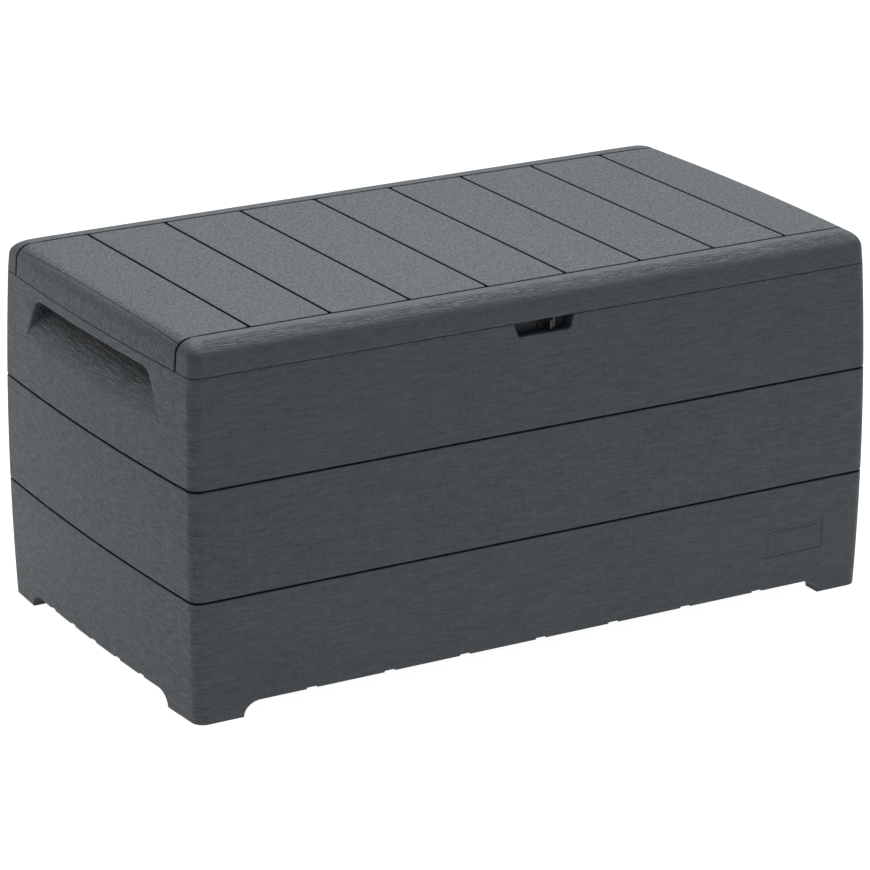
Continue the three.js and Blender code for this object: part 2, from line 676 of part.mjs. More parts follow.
const EYE_INNER = STRUT_PLANE - EYE_THICKNESS / 2;
const EYE_OUTER = STRUT_PLANE + EYE_THICKNESS / 2;
const PEG_END = EYE_INNER - 4.5;
const PEG_LAP = 1;                    // how far each peg runs into its bracket
const EYE_PLAY = 0.5;                 // between an eye and the shoulder or clip beside it
const SHOULDER_RADIUS = 7;
const NECK_RADII = [6, 6.5];
const END_WALL = 6;                   // thickness of the tube's two ends
const PISTON = { long: 8, fromEye: 10 };
const CLIP = { thick: 2, r: 7.5 };
const WALL_BRACKET_FACE = PEDESTAL.face - GAP;
const BRACKET_THICK = 3;
const WALL_BRACKET = { y: [-11, 15], halfZ: 34 };   // about the pivot

function peg(side, centre, root) {
  return rodAlongX(PEG_RADIUS, sidewaysSpan(side, PEG_END, root), centre, 12)
    .add(rodAlongX(SHOULDER_RADIUS, sidewaysSpan(side, EYE_OUTER + EYE_PLAY, root), centre, 12));
}

function wallBracket(side) {
  const face = WALL_BRACKET_FACE - BRACKET_THICK;
  const plate = endBlock(side, [face, WALL_BRACKET_FACE],
    WALL_BRACKET.y.map((y) => boxPivot.y + y),
    [boxPivot.z - WALL_BRACKET.halfZ, boxPivot.z + WALL_BRACKET.halfZ]);
  const holes = [-1, 1].map((sign) => (
    rodAlongX(SCREW_RADIUS + GAP, sidewaysSpan(side, face - 1, WALL_BRACKET_FACE + 1),
      { y: boxPivot.y, z: boxPivot.z + sign * BRACKET_SCREW }, 8)));
  return plate.subtract(joined(holes)).add(peg(side, boxPivot, face + PEG_LAP));
}

function lidBracket(side) {
  const top = LINER_BOTTOM - GAP;
  const tabX = [LID_BRACKET.x[1] - BRACKET_THICK, LID_BRACKET.x[1]];
  const aboutPivot = (half) => [lidPivot.y - half, lidPivot.y + half];
  const plate = endBlock(side, LID_BRACKET.x, aboutPivot(LID_BRACKET.halfY), [top - BRACKET_THICK, top]);
  const tabZ = [lidPivot.z - LID_BRACKET.tabDrop, top - 1];
  const tab = endBlock(side, tabX, aboutPivot(LID_BRACKET.tabHalf), tabZ);
  const holes = [-1, 1].map((sign) => (
    rodAlongZ(SCREW_RADIUS + GAP, [top - BRACKET_THICK - 1, top + 1],
      { x: side * LID_BRACKET.screwX, y: lidPivot.y + sign * LID_BRACKET.screwY })));
  return plate.add(tab).subtract(joined(holes)).add(peg(side, lidPivot, tabX[0] + PEG_LAP));
}

// A strut's eye with its socket, standing on +Z, with the eye's hole along X.
function strutEye() {
  const centre = { y: 0, z: 0 };
  const neckStart = EYE_RADIUS - 0.5;
  const neckEnd = FITTING_LENGTH - GAP;
  const neck = toSolid(turned([[0, neckStart], [NECK_RADII[0], neckStart], [NECK_RADII[1], neckEnd],
    [0, neckEnd]], 12));
  const half = EYE_THICKNESS / 2;
  return rodAlongX(EYE_RADIUS, [-half, half], centre, 16)
    .add(neck)
    .subtract(rodAlongX(PEG_RADIUS + GAP, [-half - 1, half + 1], centre, 12));
}

function strutTube() {
  const end = FITTING_LENGTH + TUBE_LENGTH;
  const hole = ROD_RADIUS + EYE_PLAY;
  return toSolid(turned([[0, FITTING_LENGTH], [TUBE_RADIUS, FITTING_LENGTH], [TUBE_RADIUS, end],
    [hole, end], [hole, end - END_WALL], [TUBE_BORE, end - END_WALL],
    [TUBE_BORE, FITTING_LENGTH + END_WALL], [0, FITTING_LENGTH + END_WALL]]));
}

const closedLength = Math.hypot(lidPivot.y - boxPivot.y, lidPivot.z - boxPivot.z);

function strutRod() {
  const end = closedLength - FITTING_LENGTH - PISTON.fromEye;
  const start = end - PISTON.long;
  return toSolid(turned([[0, FITTING_LENGTH], [ROD_RADIUS, FITTING_LENGTH], [ROD_RADIUS, start],
    [TUBE_BORE - GAP, start], [TUBE_BORE - GAP, end], [0, end]]));
}

function retainingClip(side, centre) {
  const outer = EYE_INNER - EYE_PLAY;
  const x = sidewaysSpan(side, outer - CLIP.thick, outer);
  return rodAlongX(CLIP.r, x, centre, 12)
    .subtract(rodAlongX(PEG_RADIUS + GAP, [x[0] - 1, x[1] + 1], centre, 12));
}

// A pan-head screw about its own Z axis: the head's underside is at zero and the shank below it.
function screw(length) {
  return toSolid(turned([[0, -length], [SCREW_RADIUS, SCREW_TIP - length], [SCREW_RADIUS, 0],
    [SCREW_HEAD.r, 0], [SCREW_HEAD.r, SCREW_HEAD.rim], [SCREW_HEAD.crownR, SCREW_HEAD.thick],
    [0, SCREW_HEAD.thick]], 8));
}

// ---------------------------------------------------------------- the assembly

const box = new THREE.Group();

function place(name, solid, material, position = [0, 0, 0], rotation = [0, 0, 0]) {
  const mesh = new THREE.Mesh(toGeometry(solid), material.clone());
  mesh.name = name;
  mesh.position.set(...position);
  mesh.rotation.set(...rotation);
  box.add(mesh);
}

place('floor_panel', floorPanel(), RESIN_INNER);
place('front_panel', frontPanel(), RESIN);
place('back_panel', backPanel(), RESIN);
place('lid_shell', lidShell(), RESIN_TOP);
place('lid_liner', lidLiner(), RESIN_INNER);
place('lid_bar_front', lidBar(BAR_Y[0]), ZINC);
place('lid_bar_back', lidBar(BAR_Y[1]), ZINC);
place('box_lock_plate', boxLockPlate(), BLACK_PLASTIC);
place('lid_lock_plate', lidLockPlate(), BLACK_PLASTIC);

['left', 'centre', 'right'].forEach((where, i) => {
  place(`hinge_pin_${where}`, hingePin(), ZINC, [HINGE_STATIONS[i], HINGE.y, HINGE.z]);
});

LOCK_SCREWS_X.forEach((x, i) => {
  const y = LATCH_BACK - GAP - BOX_LOCK.thick - GAP;
  place(`box_lock_screw_${i + 1}`, screw(BOX_LOCK_SCREW), ZINC, [x, y, LOCK_SCREW_Z], [Math.PI / 2, 0, 0]);
});

LID_LOCK_SCREWS_X.forEach((x, i) => {
  const z = LOCK_BOSS.z[0] - GAP - LID_LOCK.thick - GAP;
  place(`lid_lock_screw_${i + 1}`, screw(LID_LOCK_SCREW), ZINC, [x, LID_LOCK_SCREW_Y, z], [Math.PI, 0, 0]);
});

const strutTilt = Math.atan2(boxPivot.y - lidPivot.y, lidPivot.z - boxPivot.z);

for (const [name, side] of [['left', -1], ['right', 1]]) {
  const x = side * STRUT_PLANE;
  place(`${name}_end_panel`, endPanel(side), RESIN);
  place(`front_${name}_corner_key`, cornerKey(side, FRONT_JOINT), BLACK_PLASTIC);
  place(`back_${name}_corner_key`, cornerKey(side, BACK_JOINT), BLACK_PLASTIC);
  place(`${name}_wall_bracket`, wallBracket(side), ZINC);
  place(`${name}_lid_bracket`, lidBracket(side), ZINC);
  place(`${name}_wall_clip`, retainingClip(side, boxPivot), ZINC);
  place(`${name}_lid_clip`, retainingClip(side, lidPivot), ZINC);

  const atBox = [x, boxPivot.y, boxPivot.z];
  const atLid = [x, lidPivot.y, lidPivot.z];
  place(`${name}_strut_tube`, strutTube(), BLACK_PAINT, atBox, [strutTilt, 0, 0]);
  place(`${name}_strut_tube_eye`, strutEye(), BLACK_PLASTIC, atBox, [strutTilt, 0, 0]);
  place(`${name}_strut_rod`, strutRod(), CHROME, atLid, [strutTilt + Math.PI, 0, 0]);
  place(`${name}_strut_rod_eye`, strutEye(), BLACK_PLASTIC, atLid, [strutTilt + Math.PI, 0, 0]);

  [-1, 1].forEach((sign, i) => {
    const wallScrew = [side * (WALL_BRACKET_FACE - BRACKET_THICK - GAP), boxPivot.y,
      boxPivot.z + sign * BRACKET_SCREW];
    place(`${name}_wall_screw_${i + 1}`, screw(BRACKET_SCREW_LENGTH), ZINC, wallScrew,
      [0, -side * Math.PI / 2, 0]);
    const lidScrew = [side * LID_BRACKET.screwX, lidPivot.y + sign * LID_BRACKET.screwY,
      LINER_BOTTOM - GAP - BRACKET_THICK - GAP];
    place(`${name}_lid_screw_${i + 1}`, screw(BRACKET_SCREW_LENGTH), ZINC, lidScrew, [Math.PI, 0, 0]);
  });
}

export default box;
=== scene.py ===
"""The looks of a deck storage box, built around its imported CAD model. Blender 4.5.

Shapes are worked out in the CAD frame in millimetres and turned into metres when a mesh is made.
"""

import json
from math import ceil, copysign, cos, degrees, exp, hypot, pi, radians, sin, sqrt

import bmesh
import bpy
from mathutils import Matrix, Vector

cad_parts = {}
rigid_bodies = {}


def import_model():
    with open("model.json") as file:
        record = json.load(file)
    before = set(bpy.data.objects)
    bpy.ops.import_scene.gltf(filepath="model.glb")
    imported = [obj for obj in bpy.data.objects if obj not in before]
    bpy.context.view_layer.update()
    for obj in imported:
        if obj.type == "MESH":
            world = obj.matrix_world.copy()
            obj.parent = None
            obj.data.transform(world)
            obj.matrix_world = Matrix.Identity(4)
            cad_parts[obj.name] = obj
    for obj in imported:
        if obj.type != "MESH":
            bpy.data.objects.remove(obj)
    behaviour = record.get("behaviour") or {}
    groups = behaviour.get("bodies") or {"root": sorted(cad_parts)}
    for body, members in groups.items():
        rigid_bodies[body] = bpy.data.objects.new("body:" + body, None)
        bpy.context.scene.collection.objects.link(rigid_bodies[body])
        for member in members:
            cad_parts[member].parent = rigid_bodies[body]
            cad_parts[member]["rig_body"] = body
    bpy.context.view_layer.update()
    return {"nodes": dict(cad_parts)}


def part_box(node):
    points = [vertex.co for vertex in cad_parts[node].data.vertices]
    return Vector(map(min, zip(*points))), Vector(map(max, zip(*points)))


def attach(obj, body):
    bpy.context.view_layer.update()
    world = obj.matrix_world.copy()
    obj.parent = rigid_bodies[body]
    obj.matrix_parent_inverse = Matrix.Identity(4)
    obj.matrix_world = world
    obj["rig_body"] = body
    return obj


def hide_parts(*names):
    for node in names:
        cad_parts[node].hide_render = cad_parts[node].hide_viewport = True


SCENE = bpy.context.scene
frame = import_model()

# ---- driving dimensions, millimetres

MM = 0.001
HALF_LENGTH = 645.0          # at the lid seam, in the middle of each bowed end
HALF_DEPTH = 347.1
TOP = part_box("lid_shell")[1].z / MM
SEAM = 577.4
WALL_TOP = SEAM - 0.4
LID_BOTTOM = SEAM + 0.4
CORNER_RADIUS = 20.0
SMALLEST_RADIUS = 4.0
END_BOW = 11.0
SWELL, SWELL_HEIGHT, SWELL_CURVE = 6.52, 274.7, 7.15e-5  # how far the walls belly out, and where
WALL = 5.0
PLANK_GROOVES = (208.8, 394.2)
GROOVE_PROFILE = (           # heights round the groove's middle, and how far back the surface is there
    (-4.4, 0.0), (-3.6, 0.0), (-2.8, 0.12), (-2.2, 0.5), (-1.8, 1.2), (-1.6, 2.2), (-1.5, 3.6),
    (1.2, 3.6), (1.35, 2.2), (1.5, 1.1), (1.85, 0.45), (2.4, 0.1), (3.2, 0.0), (4.0, 0.0))

FRONT_JOINT, BACK_JOINT, HALF_JOINT = -294.5, 296.3, 0.18
FLANGE_REACH, FLANGE_THICK = 618.0, 5.5

FOOT_HEIGHT, FOOT_DEPTH, FOOT_CURVE = 24.7, 35.0, 30.0
FOOT_START_X = 553.0
FOOT_START_Y = (-252.0, 261.0)
FOOT_TOP = 28.7
DRAIN_HALF, DRAIN_HEIGHT = 10.0, 2.4
LONG_DRAINS = (-430, -287, -146, -1, 140, 283, 427)
END_DRAINS = (-164, -79, 10, 90, 172)

RIB_HALF, RIB_BOTTOM, RIB_TOP, END_RIB_TOP = 3.0, 40.0, 560.0, 460.0
LONG_RIBS = (-501, -358, -215, -72, 72, 215, 358, 501)
END_RIBS = (-170, -85, 0, 85, 170)
LONG_RIB_REACH, END_RIB_REACH = 333.0, 628.0

SHELF_DEPTH, SHELF_BOTTOM = 12.0, 571.0
LIP_OUTER, LIP_INNER, LIP_TOP = 6.5, 9.5, 585.0

NOTCH_TOP, NOTCH_FLOOR = 57.0, 553.0
NOTCH_LEFT, NOTCH_RIGHT = (48.0, 3.0), (53.0, 10.0)  # half width at its floor, corner radius
NOTCH_BACK = -321.0
POCKET_WALL, POCKET_BACK = 5.0, -313.0
BADGE_X, BADGE_Z = (437.0, 557.0), (83.0, 136.0)
BADGE_DEPTH, BADGE_BORDER, BADGE_CORNER = 1.3, 9.0, 3.0
BADGE_PLATE = 0.6            # height of the plate in the badge, as a share of the badge's depth

HANDLE_WALL = 4.0
HANDLE_SIDE = ((250, 480), (239, 500), (229, 519), (220, 536), (213, 548), (204, 556), (190, 559))
HANDLE_SLOPE = ((613.0, 546.0), (643.0, 510.0))  # (x, z) at the back and the foot of its floor
BLOCK_Y, BLOCK_Z = 272.0, (470.0, 567.0)  # the part of the end wall's grid the handle replaces
INNER_BLOCK_Z = (469.0, 569.0)

LID_END_RADIUS, LID_LONG_RADIUS, LID_FLARE, LID_WALL = 24.0, 29.0, 0.07, 5.0
LID_CROWN, CROWN_START, CROWN_RUN = 1.1, 560.0, 70.0   # the top falls off a little towards the ends
LID_EDGE, SKIRT_ROWS, SKIRT_INNER = 1.0, (7.0, 13.0, 18.0), 26.0  # edge rounding, heights over it
RAIL_COARSE = 0.9            # how coarse the grain gets round the long edges
LID_CREASE = 628.5           # the moulded line across each end of the lid, from the middle
SLAT_GROOVES = (73.9, 217.3, 360.7, 504.1)
SLAT_GROOVE_HALF, RAIL_GROOVE_HALF, LID_GROOVE_DEPTH = 2.2, 2.3, 3.8

# The pressed panels of the floor and the liner are given as (middle, half) along X and along Y.
FLOOR_INSET, FLOOR_BOTTOM, FLOOR_TOP = 8.0, 29.0, 33.0
FLOOR_COLUMNS, FLOOR_PANEL_ROWS = [(148 * n - 518.0, 74.0) for n in range(8)], [(0.0, 300.0)]
FLOOR_RIBS_X, FLOOR_RIBS_Y = (-480, -240, 0, 240, 480), (-250, -125, 125, 250)
FLOOR_RIB_HALF, FLOOR_RIB_BOTTOM = 3, 17.0
LINER_INSET, LINER_BOTTOM, LINER_TOP = 17.0, 580.0, 583.5
LINER_COLUMNS = [(232 * n - 464.0, 116.0) for n in range(5)]
LINER_PANEL_ROWS = [(-152.0, 140.0), (146.0, 140.0)]
LINER_RIM, LINER_RIM_TOP = (20.0, 23.0), 600.0  # insets of the rim's outer and inner side
LOCK_ROOM_HALF, LOCK_ROOM_BACK = 60.0, -314.0

HINGE_X, HINGE_Y, HINGE_Z = (-430.0, 0.0, 430.0), 347.6, 578.0
KNUCKLE_RADIUS, LID_KNUCKLE, WALL_KNUCKLE = 6.0, 11.85, (12.15, 30.0)
HINGE_NOTCH, HINGE_CUT = 35.0, 6.9           # half width of the notch, and its reach from the pin
WALL_ROOT = [(342.0, 570.0), (346.4, 558.0)]  # (y, z) where a knuckle's web meets the wall
LID_ROOT = [(342.0, 588.0), (344.6, 599.0)]
PEDESTAL = [(603.5, 306.0), (638.0, 306.0), (637.0, 325.0), (631.0, 341.0), (603.5, 341.0)]
PEDESTAL_Z = (342.2, 418.2)

# ---- small helpers


def lerp(a, b, t):
    return a + (b - a) * t


def blend(a, b, t):
    """The point part of the way from a to b."""
    return tuple(lerp(p, q, t) for p, q in zip(a, b))


def clamp(v, low, high):
    return max(low, min(high, v))


def smooth_max(a, b, k):
    """The larger of two values, rounded off where they come within k of each other."""
    h = max(k - abs(a - b), 0.0) / k
    return max(a, b) + h * h * k / 4


def smooth_step(t):
    t = clamp(t, 0.0, 1.0)
    return t * t * (3 - 2 * t)


def quarter(steps):
    """Angles from nought to a right angle."""
    return [i / steps * pi / 2 for i in range(steps + 1)]


def past_rectangle(u, v, u_span, v_span, radius):
    """Distance outside a rectangle with rounded corners, negative inside it."""
    du = abs(u - sum(u_span) / 2) - (u_span[1] - u_span[0]) / 2 + radius
    dv = abs(v - sum(v_span) / 2) - (v_span[1] - v_span[0]) / 2 + radius
    return hypot(max(du, 0), max(dv, 0)) + min(max(du, dv), 0) - radius


def spread(start, end, gap):
    """Values from start to end, both included, no further apart than gap."""
    n = max(1, ceil(abs(end - start) / gap))
    return [lerp(start, end, i / n) for i in range(n + 1)]


def merged(values, start, end, gap, nearest=0.04):
    """Sorted stations between start and end that hold the given values and leave no wide gap."""
    wanted = sorted({v for v in values if start < v < end} | {start, end})
    kept = [wanted[0]]
    for v in wanted[1:]:
        if v - kept[-1] > nearest:
            kept.append(v)
    kept[-1] = end
    result = [kept[0]]
    for a, b in zip(kept, kept[1:]):
        result += spread(a, b, gap)[1:]
    return result


def swell(z):
    """How far out the walls stand at a height."""
    return SWELL - SWELL_CURVE * (z - SWELL_HEIGHT) ** 2


# ---- the plan outline
# A station is ("end", side, y), ("long", side, x) or ("corner", x side, y side, t), with t from
# 0 at the short end to 1 at the long side.


def end_x(y, inset):
    return HALF_LENGTH - inset - END_BOW * (y / HALF_DEPTH) ** 2


def corner_of(inset):
    radius = max(CORNER_RADIUS - inset, SMALLEST_RADIUS)
    y = HALF_DEPTH - inset - radius
    return end_x(y, inset) - radius, y, radius


def plan(station, inset=0.0, out_x=0.0, out_y=None):
    """The outline's point at a station, inset and then moved outwards by out_x and out_y."""
    kx = 1 + out_x / HALF_LENGTH
    ky = 1 + (out_x if out_y is None else out_y) / HALF_DEPTH
    cx, cy, radius = corner_of(inset)
    kind = station[0]
    if kind == "end":
        y = clamp(station[2] / ky, -cy, cy)
        return station[1] * end_x(y, inset) * kx, y * ky
    if kind == "long":
        x = clamp(station[2] / kx, -cx, cx)
        return x * kx, station[1] * (HALF_DEPTH - inset) * ky
    angle = station[3] * pi / 2
    return (station[1] * (cx + radius * cos(angle)) * kx,
            station[2] * (cy + radius * sin(angle)) * ky)


CORNER_STEPS = 10


def corner(side_x, side_y, from_end=True):
    steps = [("corner", side_x, side_y, i / CORNER_STEPS) for i in range(CORNER_STEPS + 1)]
    return steps if from_end else steps[::-1]


# ---- meshes

SHARP_DEGREES = 38            # an edge is kept sharp beyond this turn, and rounded beyond the next
ROUNDED_DEGREES = 32


class Mesh:
    """Vertices and faces being put together, in millimetres.

    A point is (x, y, z), with two more numbers where they aren't nought: how much shade is painted
    there, and how coarse the moulded grain is, whose raised streaks get a painted highlight.
    """

    def __init__(self):
        self.points = []
        self.faces = []

    def add(self, point):
        self.points.append(point)
        return len(self.points) - 1

    def row(self, points):
        return [self.add(p) for p in points]

    def strip(self, a, b, closed=False):
        """Quads between two rows of the same length, and triangles where a point repeats."""
        n = len(a)
        for i in range(n if closed else n - 1):
            j = (i + 1) % n
            face = tuple(dict.fromkeys((a[i], a[j], b[j], b[i])))
            if len(face) > 2:
                self.faces.append(face)

    def cap(self, row):
        self.faces.append(tuple(row))

    def join(self, rows, closed=False):
        for a, b in zip(rows, rows[1:]):
            self.strip(a, b, closed)

    def grid(self, rows, closed=False):
        made = [self.row(r) for r in rows]
        self.join(made, closed)
        return made

    def solid_sweep(self, loops):
        """Closed loops of the same length joined one to the next, with both ends capped."""
        rows = self.grid(loops, closed=True)
        self.cap(rows[0])
        self.cap(rows[-1][::-1])

    def ring_sweep(self, loops):
        """Rings round and round: each loop is closed, and the last joins the first."""
        rows = self.grid(loops, closed=True)
        self.strip(rows[-1], rows[0], closed=True)

    def bar(self, xs, ys, zs):
        """A plain bar between two x, two y and two z."""
        outline = [(xs[0], zs[0]), (xs[1], zs[0]), (xs[1], zs[1]), (xs[0], zs[1])]
        self.solid_sweep([[(x, y, z) for x, z in outline] for y in ys])


def finish_mesh(mesh):
    """Welds, orients and smooths a mesh, and keeps its sharp edges."""
    bm = bmesh.new()
    bm.from_mesh(mesh)
    bmesh.ops.remove_doubles(bm, verts=bm.verts, dist=1e-5)
    bmesh.ops.dissolve_degenerate(bm, dist=1e-6, edges=bm.edges)
    bmesh.ops.recalc_face_normals(bm, faces=bm.faces)
    limit = radians(SHARP_DEGREES)
    for face in bm.faces:
        face.smooth = True
    for edge in bm.edges:
        edge.smooth = len(edge.link_faces) == 2 and edge.calc_face_angle(pi) < limit
    bm.to_mesh(mesh)
    bm.free()


def add_object(name, data):
    obj = bpy.data.objects.new(name, data)
    SCENE.collection.objects.link(obj)
    return obj


def put_in_place(name, mesh, material, body, cad_node):
    """An object with one material that rides on a body and stands for a CAD node."""
    mesh.materials.clear()
    mesh.materials.append(material)
    obj = add_object(name, mesh)
    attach(obj, body)
    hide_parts(cad_node)
    return obj


def raw_mesh(name, made):
    mesh = bpy.data.meshes.new(name)
    mesh.from_pydata([(p[0] * MM, p[1] * MM, p[2] * MM) for p in made.points], [], made.faces)
    return mesh


def piece(name, made, material, body, cad_node):
    mesh = raw_mesh(name, made)
    # the first of these is shade painted into the colour
    for n, attribute in enumerate(("painted_shade", "coarse")):
        layer = mesh.attributes.new(attribute, "FLOAT", "POINT")
        layer.data.foreach_set("value", [p[3 + n] if len(p) > 3 + n else 0.0 for p in made.points])
    finish_mesh(mesh)
    put_in_place(name, mesh, material, body, cad_node)


def softened(cad_node, material, width):
    """A copy of a CAD node with its flat faces joined up and its edges rounded, in its place."""
    source = frame["nodes"][cad_node]
    mesh = source.data.copy()
    mesh.name = cad_node + "_soft"
    bm = bmesh.new()
    bm.from_mesh(mesh)
    bmesh.ops.remove_doubles(bm, verts=bm.verts, dist=1e-6)
    bmesh.ops.dissolve_limit(bm, angle_limit=radians(1.0), verts=bm.verts, edges=bm.edges)
    for face in bm.faces:
        face.smooth = True
    bm.to_mesh(mesh)
    bm.free()
    obj = put_in_place(mesh.name, mesh, material, source["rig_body"], cad_node)
    bevel = obj.modifiers.new("rounded", "BEVEL")
    bevel.width = width * MM
    bevel.segments = 2
    bevel.limit_method = "ANGLE"
    bevel.angle_limit = radians(ROUNDED_DEGREES)
    bevel.harden_normals = True


# ---- materials


def new_material(name, color, roughness, metallic=0.0):
    material = bpy.data.materials.new(name)
    material.use_nodes = True
    shader = material.node_tree.nodes["Principled BSDF"]
    shader.inputs["Base Color"].default_value = (*color, 1)
    shader.inputs["Roughness"].default_value = roughness
    shader.inputs["Metallic"].default_value = metallic
    return material, material.node_tree, shader


def node(tree, kind, inputs, output=0, **settings):
    """A new node's output, with its inputs set to values or linked to other nodes' outputs."""
    made = tree.nodes.new("ShaderNode" + kind)
    for name, value in settings.items():
        setattr(made, name, value)
    for name, value in inputs.items():
        if isinstance(value, bpy.types.NodeSocket):
            tree.links.new(value, made.inputs[name])
        else:
            made.inputs[name].default_value = value
    return made.outputs[output]


def link_noise(tree, stretch, detail=3.0, roughness=0.55):
    """Noise in object space. stretch gives the repeats per metre along X, Y and Z."""
    place = node(tree, "Mapping", {"Vector": node(tree, "TexCoord", {}, "Object"), "Scale": stretch})
    inputs = {"Vector": place, "Scale": 1.0, "Detail": detail, "Roughness": roughness}
    return node(tree, "TexNoise", inputs, "Fac")


def math_node(tree, operation, *values):
    return node(tree, "Math", dict(enumerate(values)), operation=operation)


def ramp(tree, value, low, high, out_low=0.0, out_high=1.0):
    inputs = {"Value": value, "From Min": low, "From Max": high, "To Min": out_low, "To Max": out_high}
    return node(tree, "MapRange", inputs, clamp=True)


def mix_value(tree, factor, a, b):
    return node(tree, "Mix", {0: factor, 2: a, 3: b})


def laid_over(tree, factor, under, color):
    """A fixed colour laid over another by a factor. The other is fixed too, or a node's output."""
    under = (*under, 1) if isinstance(under, tuple) else under
    return node(tree, "Mix", {0: factor, 6: under, 7: (*color, 1)}, 2, data_type="RGBA")


def tone(color, factor):
    return tuple(c * factor for c in color)


def dress(tree, shader, color, roughness, height, depth):
    """Links a shader's colour, roughness and relief, whose depth is in millimetres."""
    normal = node(tree, "Bump", {"Strength": 1.0, "Distance": depth * MM, "Height": height}, "Normal")
    for name, value in (("Base Color", color), ("Roughness", roughness), ("Normal", normal)):
        tree.links.new(value, shader.inputs[name])


def coordinates(tree):
    return node(tree, "SeparateXYZ", {"Vector": node(tree, "TexCoord", {}, "Object")}).node.outputs


def attribute(tree, name):
    return node(tree, "Attribute", {}, "Fac", attribute_name=name)


def weighted(tree, parts):
    """The sum of (socket, weight) pairs."""
    total = math_node(tree, "MULTIPLY", *parts[0])
    for socket, weight in parts[1:]:
        total = math_node(tree, "MULTIPLY_ADD", socket, weight, total)
    return total


def strokes(tree, along, length, width, detail=3.0):
    """Moulded strokes lying along the given axes, their length and width in millimetres."""
    stretch = tuple((1 / length if axis in along else 1 / width) / MM for axis in "xyz")
    return ramp(tree, link_noise(tree, stretch, detail), 0.3, 0.7)


def wood_grain(tree, along, length=26.0, width=2.4):
    """Long fibres and short fine pores, from 0 to 1."""
    fibres = strokes(tree, along, length, width)
    pores = strokes(tree, along, length / 4, width / 1.9, detail=2.0)
    return weighted(tree, [(fibres, 0.6), (pores, 0.4)])


def beyond(tree, value, middle, half, soft=0.4):
    """1 where a coordinate in metres is further than half from the middle, all in millimetres."""
    away = math_node(tree, "ABSOLUTE", math_node(tree, "SUBTRACT", value, middle * MM))
    return ramp(tree, away, (half - soft) * MM, (half + soft) * MM)


def wall_grain(tree):
    """Grain lying level round the walls, with a faint upright weave in it.

    A grain is its height from 0 to 1, how strongly it shows, and a line marked into the surface,
    which is sunk into the relief and painted in shade.
    """
    x = coordinates(tree)[0]
    weave = strokes(tree, "z", 16.0, 3.2)
    level = weighted(tree, [(wood_grain(tree, "xy"), 0.78), (weave, 0.22)])
    on_end = beyond(tree, x, 0, HALF_LENGTH - 16, 6.0)
    return level, ramp(tree, on_end, 0, 1, 1.15, 1.8), None


def lid_grain(tree):
    """Grain along each slat and each rail, and upright on the ends below their crease."""
    x, y = coordinates(tree)[:2]
    slats = weighted(tree, [(strokes(tree, "y", 9.0, 2.6), 0.5), (strokes(tree, "y", 4.5, 2.2), 0.5)])
    rails = wood_grain(tree, "x", 18.0, 2.6)
    ends = weighted(tree, [(strokes(tree, "z", 9.0, 2.6), 0.6), (strokes(tree, "z", 4.0, 2.0), 0.4)])
    on_rail = beyond(tree, y, (FRONT_JOINT + BACK_JOINT) / 2, (BACK_JOINT - FRONT_JOINT) / 2)
    off_rail = math_node(tree, "SUBTRACT", 1.0, on_rail)
    on_end = math_node(tree, "MULTIPLY", beyond(tree, x, 0, LID_CREASE), off_rail)
    # the crease across each end, which resin_material sinks into the relief and paints in shade
    past_crease = math_node(tree, "SUBTRACT", math_node(tree, "ABSOLUTE", x), LID_CREASE * MM)
    line = ramp(tree, math_node(tree, "ABSOLUTE", past_crease), 1.3 * MM, 0.5 * MM)
    line = math_node(tree, "MULTIPLY", line, off_rail)
    height = mix_value(tree, on_end, mix_value(tree, on_rail, slats, rails), ends)
    strength = math_node(tree, "MULTIPLY_ADD", off_rail, SLAT_STRENGTH - 1, 1.0)
    return height, math_node(tree, "MULTIPLY_ADD", on_end, END_STRENGTH - SLAT_STRENGTH, strength), line


def resin_material(name, grain, coarse_strokes):
    """Moulded resin with a wood grain, with painted shade and painted highlights in its colour."""
    material, tree, shader = new_material(name, RESIN, RESIN_ROUGHNESS)
    fine, strength, line = grain(tree)
    coarse = math_node(tree, "SUBTRACT", wood_grain(tree, *coarse_strokes), 0.5)
    coarse = math_node(tree, "MULTIPLY", attribute(tree, "coarse"), coarse)
    fine = math_node(tree, "MULTIPLY", math_node(tree, "SUBTRACT", fine, 0.5), strength)
    height = weighted(tree, [(fine, GRAIN_DEPTH), (coarse, COARSE_DEPTH)])
    mottle = math_node(tree, "SUBTRACT", link_noise(tree, (9, 9, 9), detail=5, roughness=0.6), 0.5)
    shade = weighted(tree, [(fine, 0.75), (mottle, 0.25), (coarse, COARSE_CONTRAST)])
    dark, light = tone(RESIN, 1 - GRAIN_CONTRAST), tone(RESIN, 1 + GRAIN_CONTRAST)
    tint = laid_over(tree, ramp(tree, shade, -0.3, 0.3), dark, light)
    # painted shade: darkens the colour in grooves, in the handle's hollow, along the badge and under the
    # walls
    painted_shade_mask = attribute(tree, "painted_shade")
    if line is not None:
        # the crease line is sunk into the relief and painted in shade as well
        height = math_node(tree, "MULTIPLY_ADD", line, -0.6, height)
        painted_shade_mask = math_node(tree, "MAXIMUM", painted_shade_mask, math_node(tree, "MULTIPLY", line, 0.6))
    # pale streaks painted on the coarse grain, standing in for glints of light
    tint = laid_over(tree, ramp(tree, coarse, 0.02, 0.3, 0.0, 0.9), tint, tone(RESIN, STREAK_HIGHLIGHT))
    # the painted shade is laid over the colour
    tint = laid_over(tree, painted_shade_mask, tint, tone(RESIN, PAINTED_SHADE_TONE))
    worn = ramp(tree, fine, -0.5, 0.5, RESIN_ROUGHNESS + 0.08, RESIN_ROUGHNESS - 0.08)
    # the sheen is turned down where shade is painted
    tree.links.new(ramp(tree, painted_shade_mask, 0.0, 1.0, RESIN_SHEEN, 0.03), shader.inputs["Specular IOR Level"])
    dress(tree, shader, tint, worn, height, 1.0)
    return material


